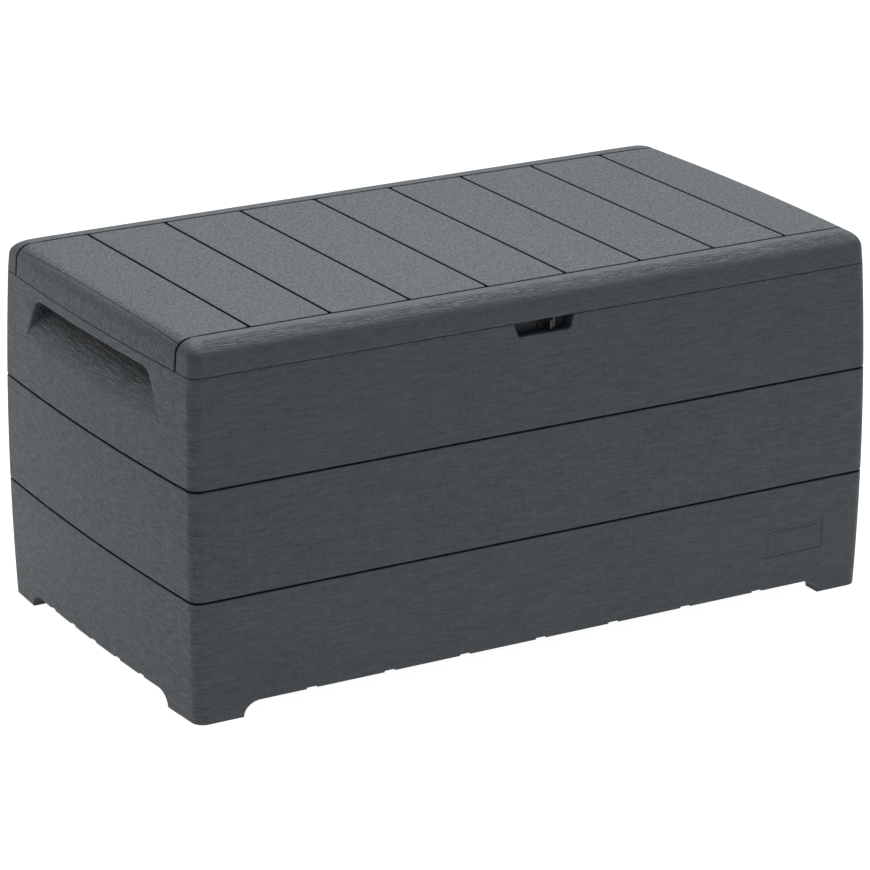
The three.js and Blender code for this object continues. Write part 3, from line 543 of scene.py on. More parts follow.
def plain_plastic(name, color, roughness):
    material, tree, shader = new_material(name, color, roughness)
    texture = link_noise(tree, (1800, 1800, 1800), detail=2)
    cloud = link_noise(tree, (14, 14, 14), detail=4)
    shade = laid_over(tree, ramp(tree, cloud, 0.3, 0.7), tone(color, 0.85), tone(color, 1.15))
    worn = ramp(tree, texture, 0.3, 0.7, roughness - 0.06, roughness + 0.06)
    dress(tree, shader, shade, worn, texture, 0.06)
    return material


def metal(name, color, roughness, stretch, depth=0.02):
    material, tree, shader = new_material(name, color, roughness, metallic=1.0)
    brushed = link_noise(tree, stretch)
    cloud = link_noise(tree, (60, 60, 60), detail=4)
    shade = laid_over(tree, ramp(tree, cloud, 0.35, 0.65), tone(color, 0.86), color)
    worn = ramp(tree, brushed, 0.3, 0.7, roughness - 0.05, roughness + 0.08)
    dress(tree, shader, shade, worn, brushed, depth)
    return material


def painted(name, color, roughness):
    material, tree, shader = new_material(name, color, roughness)
    peel = link_noise(tree, (420, 420, 420), detail=2)
    dust = link_noise(tree, (25, 25, 25), detail=5)
    worn = ramp(tree, dust, 0.3, 0.7, roughness - 0.05, roughness + 0.1)
    shade = laid_over(tree, ramp(tree, dust, 0.45, 0.8), color, tone(color, 1.5))
    shader.inputs["Coat Weight"].default_value = 0.3
    shader.inputs["Coat Roughness"].default_value = 0.15
    dress(tree, shader, shade, worn, peel, 0.04)
    return material


RESIN = (0.0438, 0.0525, 0.0590)
RESIN_INNER = (0.040, 0.045, 0.049)
RESIN_ROUGHNESS, RESIN_SHEEN = 0.55, 0.3
GRAIN_DEPTH, GRAIN_CONTRAST = 0.26, 0.3  # height of the fine grain in millimetres
PAINTED_SHADE_TONE = 0.12                 # share of the resin's colour left under the fullest painted shade, as in a groove's bottom
PLANK_PAINTED_SHADE = 0.82           # how far the shade painted in the grooves between planks goes towards that
COARSE_DEPTH, COARSE_CONTRAST = 2.8, 1.6
STREAK_HIGHLIGHT = 2.1                 # how much paler the coarse grain's raised streaks are painted, as highlights of glinting light
SLAT_STRENGTH, END_STRENGTH = 3.0, 3.2   # how much the grain shows there, beside the rails' 1

wall_resin = resin_material("wall_resin", wall_grain, ("y", 34.0, 3.8))
lid_resin = resin_material("lid_resin", lid_grain, ("x", 24.0, 3.0))
inner_resin = plain_plastic("inner_resin", RESIN_INNER, 0.5)
lock_resin = plain_plastic("lock_resin", (0.016, 0.018, 0.020), 0.5)
key_resin = plain_plastic("key_resin", (0.018, 0.019, 0.020), 0.45)
eye_nylon = plain_plastic("eye_nylon", (0.012, 0.012, 0.013), 0.4)
zinc = metal("zinc", (0.50, 0.51, 0.52), 0.32, (900, 60, 900))
screw_steel = metal("screw_steel", (0.56, 0.57, 0.58), 0.3, (700, 700, 700))
# steel for the lock screws, painted near black for the shade in the lock recess
shaded_screw_steel = metal("shaded_screw_steel", (0.05, 0.05, 0.052), 0.42, (700, 700, 700))
chrome = metal("chrome", (0.68, 0.69, 0.70), 0.1, (300, 900, 900), depth=0.004)
strut_paint = painted("strut_paint", (0.014, 0.014, 0.015), 0.38)

# ---- walls


def painted_shade_of(dent):
    """Painted shade grows with the depth of a groove, up to 1.6 mm."""
    return smooth_step(dent / 1.6)


BADGE_FINE = [edge + d for edge in (0.0, BADGE_BORDER) for d in (-1.3, -0.6, -0.1, 0.25, 0.7, 1.6)]
# how dark the shade painted along the badge's edges gets
BADGE_PAINTED_SHADE = 0.15


def past_badge(x, z, inset):
    spans = [(low + inset, high - inset) for low, high in (BADGE_X, BADGE_Z)]
    return past_rectangle(x, z, *spans, BADGE_CORNER)


def badge_dent(x, z):
    """A blank sunken plate with a blank raised one inside it."""
    outer, inner = (smooth_step((0.4 - past_badge(x, z, inset)) / 0.9) for inset in (0.0, BADGE_BORDER))
    return BADGE_DEPTH * (outer - BADGE_PLATE * inner)


# Shade painted along the badge's outer and inner edges.
def badge_painted_shade(x, z):
    near = min(abs(past_badge(x, z, inset)) for inset in (0.0, BADGE_BORDER))
    return BADGE_PAINTED_SHADE * exp(-(near / 0.8) ** 2)


def wall_rows():
    """(height, dent) of the fixed rows of a wall's face, from above the foot to below the top."""
    rows = {z: 0.0 for z in spread(45, 540, 22)}
    for edge, sign in ((BADGE_Z[0], 1), (BADGE_Z[1], -1)):
        rows.update({edge + sign * d: 0.0 for d in BADGE_FINE})
    for groove in PLANK_GROOVES:
        rows = {z: d for z, d in rows.items() if not -6 < z - groove < 6}
        rows.update({groove + dz: dent for dz, dent in GROOVE_PROFILE})
    return sorted(rows.items())


WALL_ROWS = wall_rows()
BOTTOM_ROUND, TOP_ROUND = 1.3, 1.1
ROUND_STEPS = 4
UNDER_GLOOM = 0.45           # how dark the shade painted under the walls is


def bottom_of(station):
    """Height of a wall's bottom edge, with the gap between the feet and the drain notches."""
    if station[0] == "corner":
        return 0.0
    along = station[2]
    if station[0] == "long":
        gap, drains = FOOT_START_X - abs(along), LONG_DRAINS
    else:
        gap, drains = min(along - FOOT_START_Y[0], FOOT_START_Y[1] - along), END_DRAINS
    drain = DRAIN_HEIGHT if any(abs(along - d) < DRAIN_HALF for d in drains) else 0.0
    return FOOT_HEIGHT * sqrt(1 - (1 - clamp(gap / FOOT_CURVE, 0.0, 1.0)) ** 2) + drain


def notch_edge(x):
    """Height of the front wall's top edge at x, with the lock notch in it."""
    low_x, radius = NOTCH_RIGHT if x > 0 else NOTCH_LEFT
    x = abs(x)
    if x >= NOTCH_TOP:
        return WALL_TOP
    if x >= low_x:
        return lerp(NOTCH_FLOOR + radius, WALL_TOP, (x - low_x) / (NOTCH_TOP - low_x))
    if x > low_x - radius:
        u = (x - low_x + radius) / radius
        return NOTCH_FLOOR + radius * (1 - sqrt(1 - u * u))
    return NOTCH_FLOOR


def hinge_gap(x, spans):
    """Whether x lies in one of the spans beside a hinge's middle."""
    return any(a < abs(x - hinge) < b for hinge in HINGE_X for a, b in spans)


WALL_GAPS = ((-1.0, WALL_KNUCKLE[0]), (WALL_KNUCKLE[1], HINGE_NOTCH))
LID_GAPS = ((LID_KNUCKLE, HINGE_NOTCH),)


def on_front(station):
    return station[0] == "long" and station[1] < 0


def top_of(station):
    if on_front(station):
        return notch_edge(station[2])
    if station[0] == "long" and hinge_gap(station[2], WALL_GAPS):
        return HINGE_Z - HINGE_CUT
    return WALL_TOP


def in_lock_notch(station):
    return on_front(station) and abs(station[2]) < NOTCH_TOP + 0.2


def rib_inset(station, z):
    """How deep the inside of a wall stands in: the skin, or a rib or flange on it."""
    if station[0] == "corner" or not RIB_BOTTOM < z < RIB_TOP:
        return WALL
    along = station[2]
    if station[0] == "long":
        if any(abs(along - rib) < RIB_HALF for rib in LONG_RIBS):
            return HALF_DEPTH + swell(z) - LONG_RIB_REACH
        return WALL
    reach = end_x(along, 0) + swell(z)
    for joint in (FRONT_JOINT, BACK_JOINT):
        if abs(along - joint) < FLANGE_THICK + HALF_JOINT:
            return reach - FLANGE_REACH
    if z < END_RIB_TOP and any(abs(along - rib) < RIB_HALF for rib in END_RIBS):
        return reach - END_RIB_REACH
    return WALL


STEP = 0.12                  # half the run of an edge that is nearly upright in a grid
INNER_ROWS = {SHELF_BOTTOM, 566.0, FOOT_TOP, INNER_BLOCK_Z[0]} | set(spread(50, 550, 32))
INNER_ROWS |= {z + d for z in (RIB_TOP, END_RIB_TOP, RIB_BOTTOM) for d in (-STEP, STEP)}
INNER_ROWS = sorted(INNER_ROWS, reverse=True)


def wall_point(station, inset, out, z):
    return (*plan(station, inset, out), z)


def wall_face(station):
    """The outer face's points, from the bottom edge to the top edge."""
    bottom, top = bottom_of(station), top_of(station)
    rows = []                # height, how far back the surface is, painted shade
    for n, turn in enumerate(quarter(ROUND_STEPS)):
        # shade painted on the bottom rounding, fading out upwards
        gloom = UNDER_GLOOM * (1 - n / ROUND_STEPS)
        rows.append((bottom + BOTTOM_ROUND * (1 - cos(turn)), BOTTOM_ROUND * (1 - sin(turn)), gloom))
    rows += [(lerp(bottom + BOTTOM_ROUND, WALL_ROWS[0][0], t), 0.0, 0.0) for t in (0.2, 0.45, 0.75)]
    for z, dent in WALL_ROWS:
        # shade painted in the plank grooves and along the badge
        painted_shade = PLANK_PAINTED_SHADE * painted_shade_of(dent)
        if on_front(station):
            dent += badge_dent(station[2], z)
            painted_shade = max(painted_shade, badge_painted_shade(station[2], z))
        rows.append((z, dent, painted_shade))
    rows += [(lerp(WALL_ROWS[-1][0], top - TOP_ROUND, t), 0.0, 0.0) for t in (0.3, 0.6, 0.85)]
    for turn in quarter(ROUND_STEPS):
        rows.append((top - TOP_ROUND * (1 - sin(turn)), TOP_ROUND * (1 - cos(turn)), 0.0))
    return [(*wall_point(station, 0, swell(z) - back, z), painted_shade) for z, back, painted_shade in rows]


def wall_rim(station):
    """The top edge: the ledge with the rain lip on it, down to the skin's inner face."""
    top = top_of(station)
    if in_lock_notch(station):
        insets = [lerp(TOP_ROUND + 0.4, WALL, i / 7) for i in range(8)]
        return [wall_point(station, i, swell(top), top) for i in insets]
    soft = 0.6
    shape = [(LIP_OUTER, top), (LIP_OUTER, LIP_TOP - soft), (LIP_OUTER + soft, LIP_TOP),
             (LIP_INNER - soft, LIP_TOP), (LIP_INNER, LIP_TOP - soft), (LIP_INNER, WALL_TOP),
             (SHELF_DEPTH, WALL_TOP), (SHELF_DEPTH, SHELF_BOTTOM)]
    return [wall_point(station, inset, 0, z) for inset, z in shape]


def wall_back(station):
    """The inner face, from under the ledge down to the bottom edge."""
    top = top_of(station)
    limit = top - 1.0 if in_lock_notch(station) and top < WALL_TOP else SHELF_BOTTOM
    points = []
    for n, z in enumerate(INNER_ROWS):
        z = min(z, limit - 0.02 * n)
        inset = rib_inset(station, z) if z > FOOT_TOP else WALL
        points.append(wall_point(station, inset, swell(z), z))
    for z in (FOOT_TOP, bottom_of(station)):
        # shade painted under the foot
        points.append((*wall_point(station, FOOT_DEPTH, swell(z), z), UNDER_GLOOM))
    return points


def wall_loop(station):
    return wall_face(station) + wall_rim(station) + wall_back(station)


def arch_stations(start, towards):
    return [start + towards * FOOT_CURVE * (1 - cos(turn)) for turn in quarter(9)]


def beside(values, half):
    """Both sides of each edge at value - half and value + half."""
    return [v + s * half + d for v in values for s in (-1, 1) for d in (-STEP, STEP)]


def long_stations(side):
    edges = arch_stations(-FOOT_START_X, 1) + arch_stations(FOOT_START_X, -1)
    edges += beside(LONG_DRAINS, DRAIN_HALF) + beside(LONG_RIBS, RIB_HALF)
    if side < 0:
        edges += [BADGE_X[0] + d for d in BADGE_FINE] + [BADGE_X[1] - d for d in BADGE_FINE]
        for sign, (low, radius) in ((-1, NOTCH_LEFT), (1, NOTCH_RIGHT)):
            arc = [low - radius * (1 - sin(turn)) for turn in quarter(6)]
            slope = spread(low, NOTCH_TOP, 2) + [NOTCH_TOP + 0.1, NOTCH_TOP + 0.3]
            edges += [sign * x for x in arc + slope]
    else:
        edges += hinge_edges()
    last = corner_of(0)[0] - 1.5
    return [("long", side, x) for x in merged(edges, -last, last, 21)]


def hinge_edges():
    halves = (LID_KNUCKLE, WALL_KNUCKLE[0], WALL_KNUCKLE[1], HINGE_NOTCH)
    return [x for half in halves for x in beside(HINGE_X, half)]


def end_edges():
    edges = arch_stations(FOOT_START_Y[0], 1) + arch_stations(FOOT_START_Y[1], -1)
    return edges + beside(END_DRAINS, DRAIN_HALF) + beside(END_RIBS, RIB_HALF)


def wrap(side_x, joint, towards):
    """Stations from a corner joint towards the long side, on the part of the end that wraps round."""
    edge = joint + towards * HALF_JOINT
    inner = edge + towards * FLANGE_THICK
    middle = lerp(inner, towards * corner_of(0)[1], 0.5)
    return [("end", side_x, y) for y in (edge, inner - towards * STEP, inner + towards * STEP, middle)]


def long_wall(side):
    """The front or back wall, with its two wrapped corners."""
    joint = FRONT_JOINT if side < 0 else BACK_JOINT
    stations = wrap(-1, joint, side) + corner(-1, side) + long_stations(side)
    stations += corner(1, side, from_end=False) + wrap(1, joint, side)[::-1]
    made = Mesh()
    made.solid_sweep([wall_loop(s) for s in stations])
    return made


def notch_outline(grow):
    """(x, z) round the lock notch from its right top to its left top, grown outwards."""
    sides = []
    for sign, (low, radius) in ((1, NOTCH_RIGHT), (-1, NOTCH_LEFT)):
        points = [(sign * (NOTCH_TOP + grow), WALL_TOP - 0.8)]
        centre = (low - radius, NOTCH_FLOOR + radius)
        for turn in reversed(quarter(6)):
            points.append((sign * (centre[0] + (radius + grow) * sin(turn)),
                           centre[1] - (radius + grow) * cos(turn)))
        sides.append(points)
    return sides[0] + sides[1][::-1]


def add_lock_pocket(made):
    """The notch's side walls, floor and back, behind the front wall's skin."""
    inner, outer = notch_outline(0.0), notch_outline(POCKET_WALL)
    front = -HALF_DEPTH + WALL + 0.2
    soft = 0.8
    made.solid_sweep([[(x, y, z) for x, z in inner + outer[::-1]] for y in (front, NOTCH_BACK)])
    depths = ((NOTCH_BACK, soft), (NOTCH_BACK + soft, 0.0), (POCKET_BACK - soft, 0.0), (POCKET_BACK, soft))
    made.solid_sweep([[(x * (1 - shrink / NOTCH_TOP), y, z) for x, z in outer] for y, shrink in depths])


def hull(points):
    """The points round the outside of a flat set, in order."""
    points = sorted(set(points))
    chains = []
    for ordered in (points, points[::-1]):
        chain = []
        for p in ordered:
            while len(chain) > 1:
                a, b = chain[-2], chain[-1]
                if (b[0] - a[0]) * (p[1] - a[1]) - (b[1] - a[1]) * (p[0] - a[0]) > 1e-9:
                    break
                chain.pop()
            chain.append(p)
        chains.append(chain[:-1])
    return chains[0] + chains[1]


def add_knuckle(made, x0, x1, root):
    """A hinge knuckle between x0 and x1 with a web to its root, a list of (y, z)."""
    soft, sides = 0.5, 40
    turns = [2 * pi * i / sides for i in range(sides)]
    loops = []
    for x, r in ((x0, KNUCKLE_RADIUS - soft), (x0 + soft, KNUCKLE_RADIUS),
                 (x1 - soft, KNUCKLE_RADIUS), (x1, KNUCKLE_RADIUS - soft)):
        ring = [(HINGE_Y + r * cos(turn), HINGE_Z + r * sin(turn)) for turn in turns]
        loops.append([(x, y, z) for y, z in hull(ring + root)])
    made.solid_sweep(loops)


def back_panel():
    made = long_wall(1)
    for hinge in HINGE_X:
        for side in (-1, 1):
            add_knuckle(made, *sorted(hinge + side * x for x in WALL_KNUCKLE), WALL_ROOT)
    for side in (-1, 1):
        made.solid_sweep([[(side * x, y, z) for x, y in PEDESTAL] for z in PEDESTAL_Z])
    return made


def front_panel():
    made = long_wall(-1)
    add_lock_pocket(made)
    return made


# ---- end walls with their handles

LIP_RADIUS = 3.2
HANDLE_SOFT = 24.0           # how softly the hollow runs out into the wall at its foot
HANDLE_GLOOM = 0.76          # how dark the shade painted in the hollow under its top edge gets


def handle_floor(z, grow):
    """Distance from the middle of the box to the handle's sloping floor at a height."""
    (back_x, back_z), (face_x, face_z) = HANDLE_SLOPE
    slope = (face_x - back_x) / (back_z - face_z)
    sloped = back_x + (back_z - z) * slope
    shift = grow * hypot(1, slope)
    return smooth_max(back_x - grow, sloped - shift, 12.0)


def handle_side(t, grow):
    """(y, z) on a smooth curve up the handle's side, from its foot at 0 to its top at 1."""
    last = len(HANDLE_SIDE) - 1
    points = [(y + grow, z + grow * n / last) for n, (y, z) in enumerate(HANDLE_SIDE)]
    spot = clamp(t, 0, 1) * last
    n = min(int(spot), last - 1)
    u = spot - n
    near = [points[clamp(n + d, 0, last)] for d in (-1, 0, 1, 2)]
    return [0.5 * (2 * b + (c - a) * u + (2 * a - 5 * b + 4 * c - d) * u * u
                   + (3 * b - a - 3 * c + d) * u ** 3) for a, b, c, d in zip(*near)]


def handle_patch(made, side, loop, sizes, inset, grow):
    """Fills a hole in the grid of an end wall with the handle's hollow.

    loop holds the hole's edge: foot left to right, right side upwards, top right to left and left
    side downwards, and sizes the number of cells along the foot and up the side.
    """
    across, up = sizes

    def skin(y, z):
        return abs(plan(("end", 1, y), inset, swell(z))[0])

    def depth_at(y, z):
        return smooth_max(0.0, skin(y, z) - handle_floor(z, grow), HANDLE_SOFT)

    def place(y, z, depth):
        """A point of the hollow, with coarser grain than the wall's, and shade painted deep under its top.
        """
        coarse = smooth_step((depth - 3.0) / 4.0)
        gloom = HANDLE_GLOOM * smooth_step(depth / 26) * smooth_step((z - 500) / 50)
        return made.add((side * (skin(y, z) - depth), y, z, gloom, coarse))

    (foot_y, foot_z), (top_y, top_z) = handle_side(0, grow), handle_side(1, grow)
    targets = [(lerp(-foot_y, foot_y, i / across), foot_z) for i in range(across)]
    targets += [handle_side(i / up, grow) for i in range(up)]
    targets += [(lerp(top_y, -top_y, i / across), top_z) for i in range(across)]
    targets += [(-y, z) for y, z in (handle_side(1 - i / up, grow) for i in range(up))]
    inward = []
    for (ya, za), (yb, zb) in zip(targets[-1:] + targets, targets[1:] + targets[:1]):
        length = hypot(yb - ya, zb - za)
        inward.append((-(zb - za) / length, (yb - ya) / length))

    rows = [loop]
    for t in (0.35, 0.7):
        row = []
        for index, (y, z), (ny, nz) in zip(loop, targets, inward):
            outer = (y - ny * LIP_RADIUS, z - nz * LIP_RADIUS)
            row.append(place(*blend(made.points[index][1:3], outer, t), 0.0))
        rows.append(row)
    rings = [(-LIP_RADIUS * (1 - sin(turn)), 1 - cos(turn), 0.0) for turn in quarter(4)]
    for shift, share in ((0.3, 0.3), (0.6, 0.6), (0.9, 0.8), (1.6, 0.92), (2.8, 0.98), (4.4, 1.0)):
        rings.append((shift, 1.0, share))
    for shift, lip, share in rings:
        row = []
        for (y, z), (ny, nz) in zip(targets, inward):
            y, z = y + ny * shift, z + nz * shift
            full = depth_at(y, z)
            row.append(place(y, z, lerp(min(LIP_RADIUS, full) * lip, full, share)))
        rows.append(row)
    made.join(rows, closed=True)

    def spot(index):
        return made.points[index][1:3]

    last = rows[-1]
    foot = last[:across + 1]
    right = last[across:across + up + 1]
    top = last[across + up:2 * across + up + 1][::-1]
    left = (last[2 * across + up:] + [last[0]])[::-1]
    grid = [foot]
    for j in range(1, up):
        v = j / up
        row = [left[j]]
        for i in range(1, across):
            u = i / across
            upwards = blend(spot(foot[i]), spot(top[i]), v)
            sideways = blend(spot(left[j]), spot(right[j]), u)
            ends = [blend(spot(edge[0]), spot(edge[-1]), u) for edge in (foot, top)]
            straight = blend(*ends, v)
            y, z = (a + b - c for a, b, c in zip(upwards, sideways, straight))
            row.append(place(y, z, depth_at(y, z)))
        grid.append(row + [right[j]])
    made.join(grid + [top])


def nearest_index(values, wanted):
    return min(range(len(values)), key=lambda i: abs(values[i] - wanted))


def end_wall(side):
    """An end wall between its two joints, with the handle hollow in its top plank."""
    low, high = FRONT_JOINT + HALF_JOINT, BACK_JOINT - HALF_JOINT
    flanges = beside((low + FLANGE_THICK, high - FLANGE_THICK), 0.0)
    ys = merged(end_edges() + flanges + [-BLOCK_Y, BLOCK_Y], low, high, 14)
    stations = [("end", side, y) for y in ys]
    made = Mesh()
    loops = [wall_loop(s) for s in stations]
    rows = [made.row(loop) for loop in loops]
    count = len(loops[0])
    face_count = len(wall_face(stations[0]))
    back_start = face_count + len(wall_rim(stations[0]))
    heights = [p[2] for p in loops[0]]
    first, last = (nearest_index(ys, y) for y in (-BLOCK_Y, BLOCK_Y))
    face_block = [nearest_index(heights[:face_count], z) for z in BLOCK_Z]
    lower, upper = (back_start + nearest_index(heights[back_start:], z) for z in INNER_BLOCK_Z)
    blocks = (face_block, (upper, lower))
    for i in range(len(rows) - 1):
        for k in range(count):
            if first <= i < last and any(a <= k < b for a, b in blocks):
                continue
            n = (k + 1) % count
            made.faces.append((rows[i][k], rows[i + 1][k], rows[i + 1][n], rows[i][n]))
    made.cap(rows[0])
    made.cap(rows[-1][::-1])

    def hole(foot, top):
        step = 1 if top > foot else -1
        loop = [rows[i][foot] for i in range(first, last)]
        loop += [rows[last][k] for k in range(foot, top, step)]
        loop += [rows[i][top] for i in range(last, first, -1)]
        loop += [rows[first][k] for k in range(top, foot, -step)]
        return loop, (last - first, abs(top - foot))

    loop, sizes = hole(*face_block)
    handle_patch(made, side, loop, sizes, 0.0, 0.0)
    loop, sizes = hole(lower, upper)
    handle_patch(made, side, loop, sizes, WALL, HANDLE_WALL)
    return made


# ---- the lid

GROOVE_FINE = (1.5, 0.95, 0.5, 0.18, 0.0, -0.15)   # distances out from a groove's edge
SLAT_CORNER, SLAT_ROUND = 5.0, 1.5
BEYOND = 900.0               # further out than anything


def slat_edge(away):
    """How far down the surface is at a distance past a slat's edge, negative on the slat."""
    if away <= -SLAT_ROUND:
        return 0.0
    if away <= 0:
        return SLAT_ROUND - sqrt(SLAT_ROUND ** 2 - (away + SLAT_ROUND) ** 2)
    return min(LID_GROOVE_DEPTH, SLAT_ROUND + away * 12)


def slat_spans():
    edges = sorted(s * g for s in (-1, 1) for g in (*SLAT_GROOVES, BEYOND))
    return [(a + SLAT_GROOVE_HALF, b - SLAT_GROOVE_HALF) for a, b in zip(edges, edges[1:])]


SLATS = slat_spans()


def rail_dent(y):
    """Depth of the groove beside a rail, past the slats."""
    return slat_edge(RAIL_GROOVE_HALF - min(abs(y - FRONT_JOINT), abs(y - BACK_JOINT)))


def lid_dent(x, y):
    """Depth of the grooves at a point of the lid's top."""
    if not FRONT_JOINT < y < BACK_JOINT:
        return rail_dent(y)
    slat_y = (FRONT_JOINT + RAIL_GROOVE_HALF, BACK_JOINT - RAIL_GROOVE_HALF)
    slat_x = min(SLATS, key=lambda s: abs(x - (s[0] + s[1]) / 2) - (s[1] - s[0]) / 2)
    return slat_edge(past_rectangle(x, y, slat_x, slat_y, SLAT_CORNER))


def crown(x):
    return LID_CROWN * smooth_step((abs(x) - CROWN_START) / CROWN_RUN)


def beside_grooves(middles, half):
    """Places across a set of grooves: their middles, their edges and the rounding past these."""
    fine = [half + d for d in GROOVE_FINE] + [half + 2.8, half + SLAT_CORNER]
    return [*middles] + [middle + s * d for middle in middles for s in (-1, 1) for d in fine]


def lid_point(station, angle, drop):
    """A point of the lid's form: angle 0 on its skirt, a quarter turn where its top is flat."""
    long_share = smooth_step(station[3]) if station[0] == "corner" else float(station[0] == "long")
    radius = lerp(LID_END_RADIUS, LID_LONG_RADIUS, long_share)
    z = TOP - radius + radius * sin(angle)
    flare = -LID_FLARE * (z - SEAM)
    pull = 1 - cos(angle)
    x, y = plan(station, 0, flare - LID_END_RADIUS * pull, flare - LID_LONG_RADIUS * pull)
    if station[0] == "end":
        x -= copysign(drop * cos(angle), x)
    return x, y, z - drop * sin(angle) - crown(x) * sin(angle) ** 2


def rail_coarse(station, angle):
    """The grain is coarsest round the long edges' rounding."""
    if station[0] == "end":
        return 0.0
    share = 1.0 if station[0] == "long" else smooth_step(station[3] * 2 - 1)
    turn = degrees(angle)
    return share * RAIL_COARSE * smooth_step((turn - 28) / 28) * smooth_step((96 - turn) / 12)


LID_REACH, LID_MARGIN = 583.0, RAIL_GROOVE_HALF + 1.8
LID_X = beside_grooves([s * g for s in (-1, 1) for g in SLAT_GROOVES], SLAT_GROOVE_HALF)
LID_X = merged(LID_X + hinge_edges(), -LID_REACH, LID_REACH, 19)
LID_Y = beside_grooves((FRONT_JOINT, BACK_JOINT), RAIL_GROOVE_HALF)
LID_Y = merged(LID_Y, FRONT_JOINT - LID_MARGIN, BACK_JOINT + LID_MARGIN, 19)


def around(xs, ys):
    """Stations right round, counter-clockwise from the front of the right-hand end."""
    return ([("end", 1, y) for y in ys] + corner(1, 1)
            + [("long", 1, x) for x in xs[::-1]] + corner(-1, 1, from_end=False)
            + [("end", -1, y) for y in ys[::-1]] + corner(-1, -1)
            + [("long", -1, x) for x in xs] + corner(1, -1, from_end=False))


def grid_edge(rows):
    """The grid's own edge as indices, point for point beside the stations that around() gives."""
    down = CORNER_STEPS + 1
    ring = [row[-1] for row in rows] + [rows[-1][-1]] * down
    ring += rows[-1][::-1] + [rows[-1][0]] * down
    ring += [row[0] for row in rows[::-1]] + [rows[0][0]] * down
    ring += rows[0] + [rows[0][-1]] * down
    return ring


def lid_shell():
    stations = around(LID_X, LID_Y)
    made = Mesh()

    def ring(angle):
        """A ring of the rounding between the skirt and the top."""
        points = []
        for s in stations:
            drop = rail_dent(s[2]) if s[0] == "end" else 0.0
            # shade painted in the rail grooves where they run over the ends' rounding
            points.append((*lid_point(s, angle, drop), painted_shade_of(drop), rail_coarse(s, angle)))
        return made.row(points)

    def skirt(height, inset):
        """A ring of the skirt at a height over its bottom edge."""
        points = []
        for s in stations:
            at_hinge = s[0] == "long" and s[1] > 0 and hinge_gap(s[2], LID_GAPS)
            cut = HINGE_Z + HINGE_CUT - LID_BOTTOM if at_hinge else 0.0
            z = LID_BOTTOM + height + cut * max(0.0, 1 - height / SKIRT_INNER)
            x, y = plan(s, inset, -LID_FLARE * (z - SEAM))
            drop = rail_dent(s[2]) if s[0] == "end" and inset < LID_EDGE else 0.0
            # shade painted in the rail grooves on the end skirts
            points.append((x - copysign(drop, x), y, z, painted_shade_of(drop)))
        return made.row(points)

    rings = [skirt(LID_EDGE, LID_WALL), skirt(0.0, LID_WALL - LID_EDGE)]
    for turn in quarter(3):
        rings.append(skirt(LID_EDGE * (1 - cos(turn)), LID_EDGE * (1 - sin(turn)) * 0.999))
    rings += [skirt(height, 0.0) for height in SKIRT_ROWS]
    rings += [ring(turn) for turn in quarter(12)]
    made.join(rings, closed=True)

    def top_point(x, y):
        dent = lid_dent(x, y)
        # shade painted in the grooves of the top
        return x, y, TOP - crown(x) - dent, painted_shade_of(dent)

    edge = grid_edge(made.grid([[top_point(x, y) for x in LID_X] for y in LID_Y]))
    middle = []
    for s, outer, inner in zip(stations, rings[-1], edge):
        x, y, z = blend(made.points[outer][:3], made.points[inner][:3], 0.5)
        middle.append(made.add((x, y, z, 0.0, 0.5 * rail_coarse(s, pi / 2))))
    made.join([rings[-1], middle, edge], closed=True)
    inside = [rings[0], skirt(SKIRT_INNER, LID_WALL), skirt(SKIRT_INNER + 10, LID_WALL + 4)]
    inside.append(made.row([(*plan(s, LID_WALL + 18), TOP - LID_WALL) for s in stations]))
    made.join(inside, closed=True)
    made.cap(inside[-1])
    for hinge in HINGE_X:
        add_knuckle(made, hinge - LID_KNUCKLE, hinge + LID_KNUCKLE, LID_ROOT)
    return made


# ---- flat panels: liner and floor


def pressed(columns, rows, margin, depth, radius):
    """The depth at (x, y) of shallow rounded panels, which stay a margin inside columns and rows."""
    x_spans, y_spans = ([(middle - half + margin, middle + half - margin) for middle, half in axis]
                        for axis in (columns, rows))

    def dent(x, y):
        past = min(past_rectangle(x, y, a, b, radius) for a in x_spans for b in y_spans)
        return depth * smooth_step((2.0 - past) / 4.0)

    return dent


def panel_edges(axis, margins):
    """Places along an axis on both sides of each panel's edges."""
    return [middle + s * (half - m) for middle, half in axis for s in (-1, 1) for m in margins]


def flat_plate(low, high, inset_of, dent, faces_down, xs, ys):
    """A plate with rounded edges whose upper or lower face carries the pressed panels."""
    made = Mesh()
    stations = around(xs, ys)
    soft = 0.8
    sign = -1 if faces_down else 1
    near, far = (low, high) if faces_down else (high, low)
    rings = []
    for inset, z in ((3.0, far), (soft, far), (0, far + sign * soft), (0, near - sign * soft),
                     (soft * 0.3, near - sign * soft * 0.3), (soft, near), (3.0, near)):
        rings.append(made.row([(*plan(s, inset_of(s) + inset), z) for s in stations]))
    made.join(rings, closed=True)
    made.cap(rings[0])
    face = made.grid([[(x, y, near - sign * dent(x, y)) for x in xs] for y in ys])
    made.strip(rings[-1], grid_edge(face), closed=True)
    return made


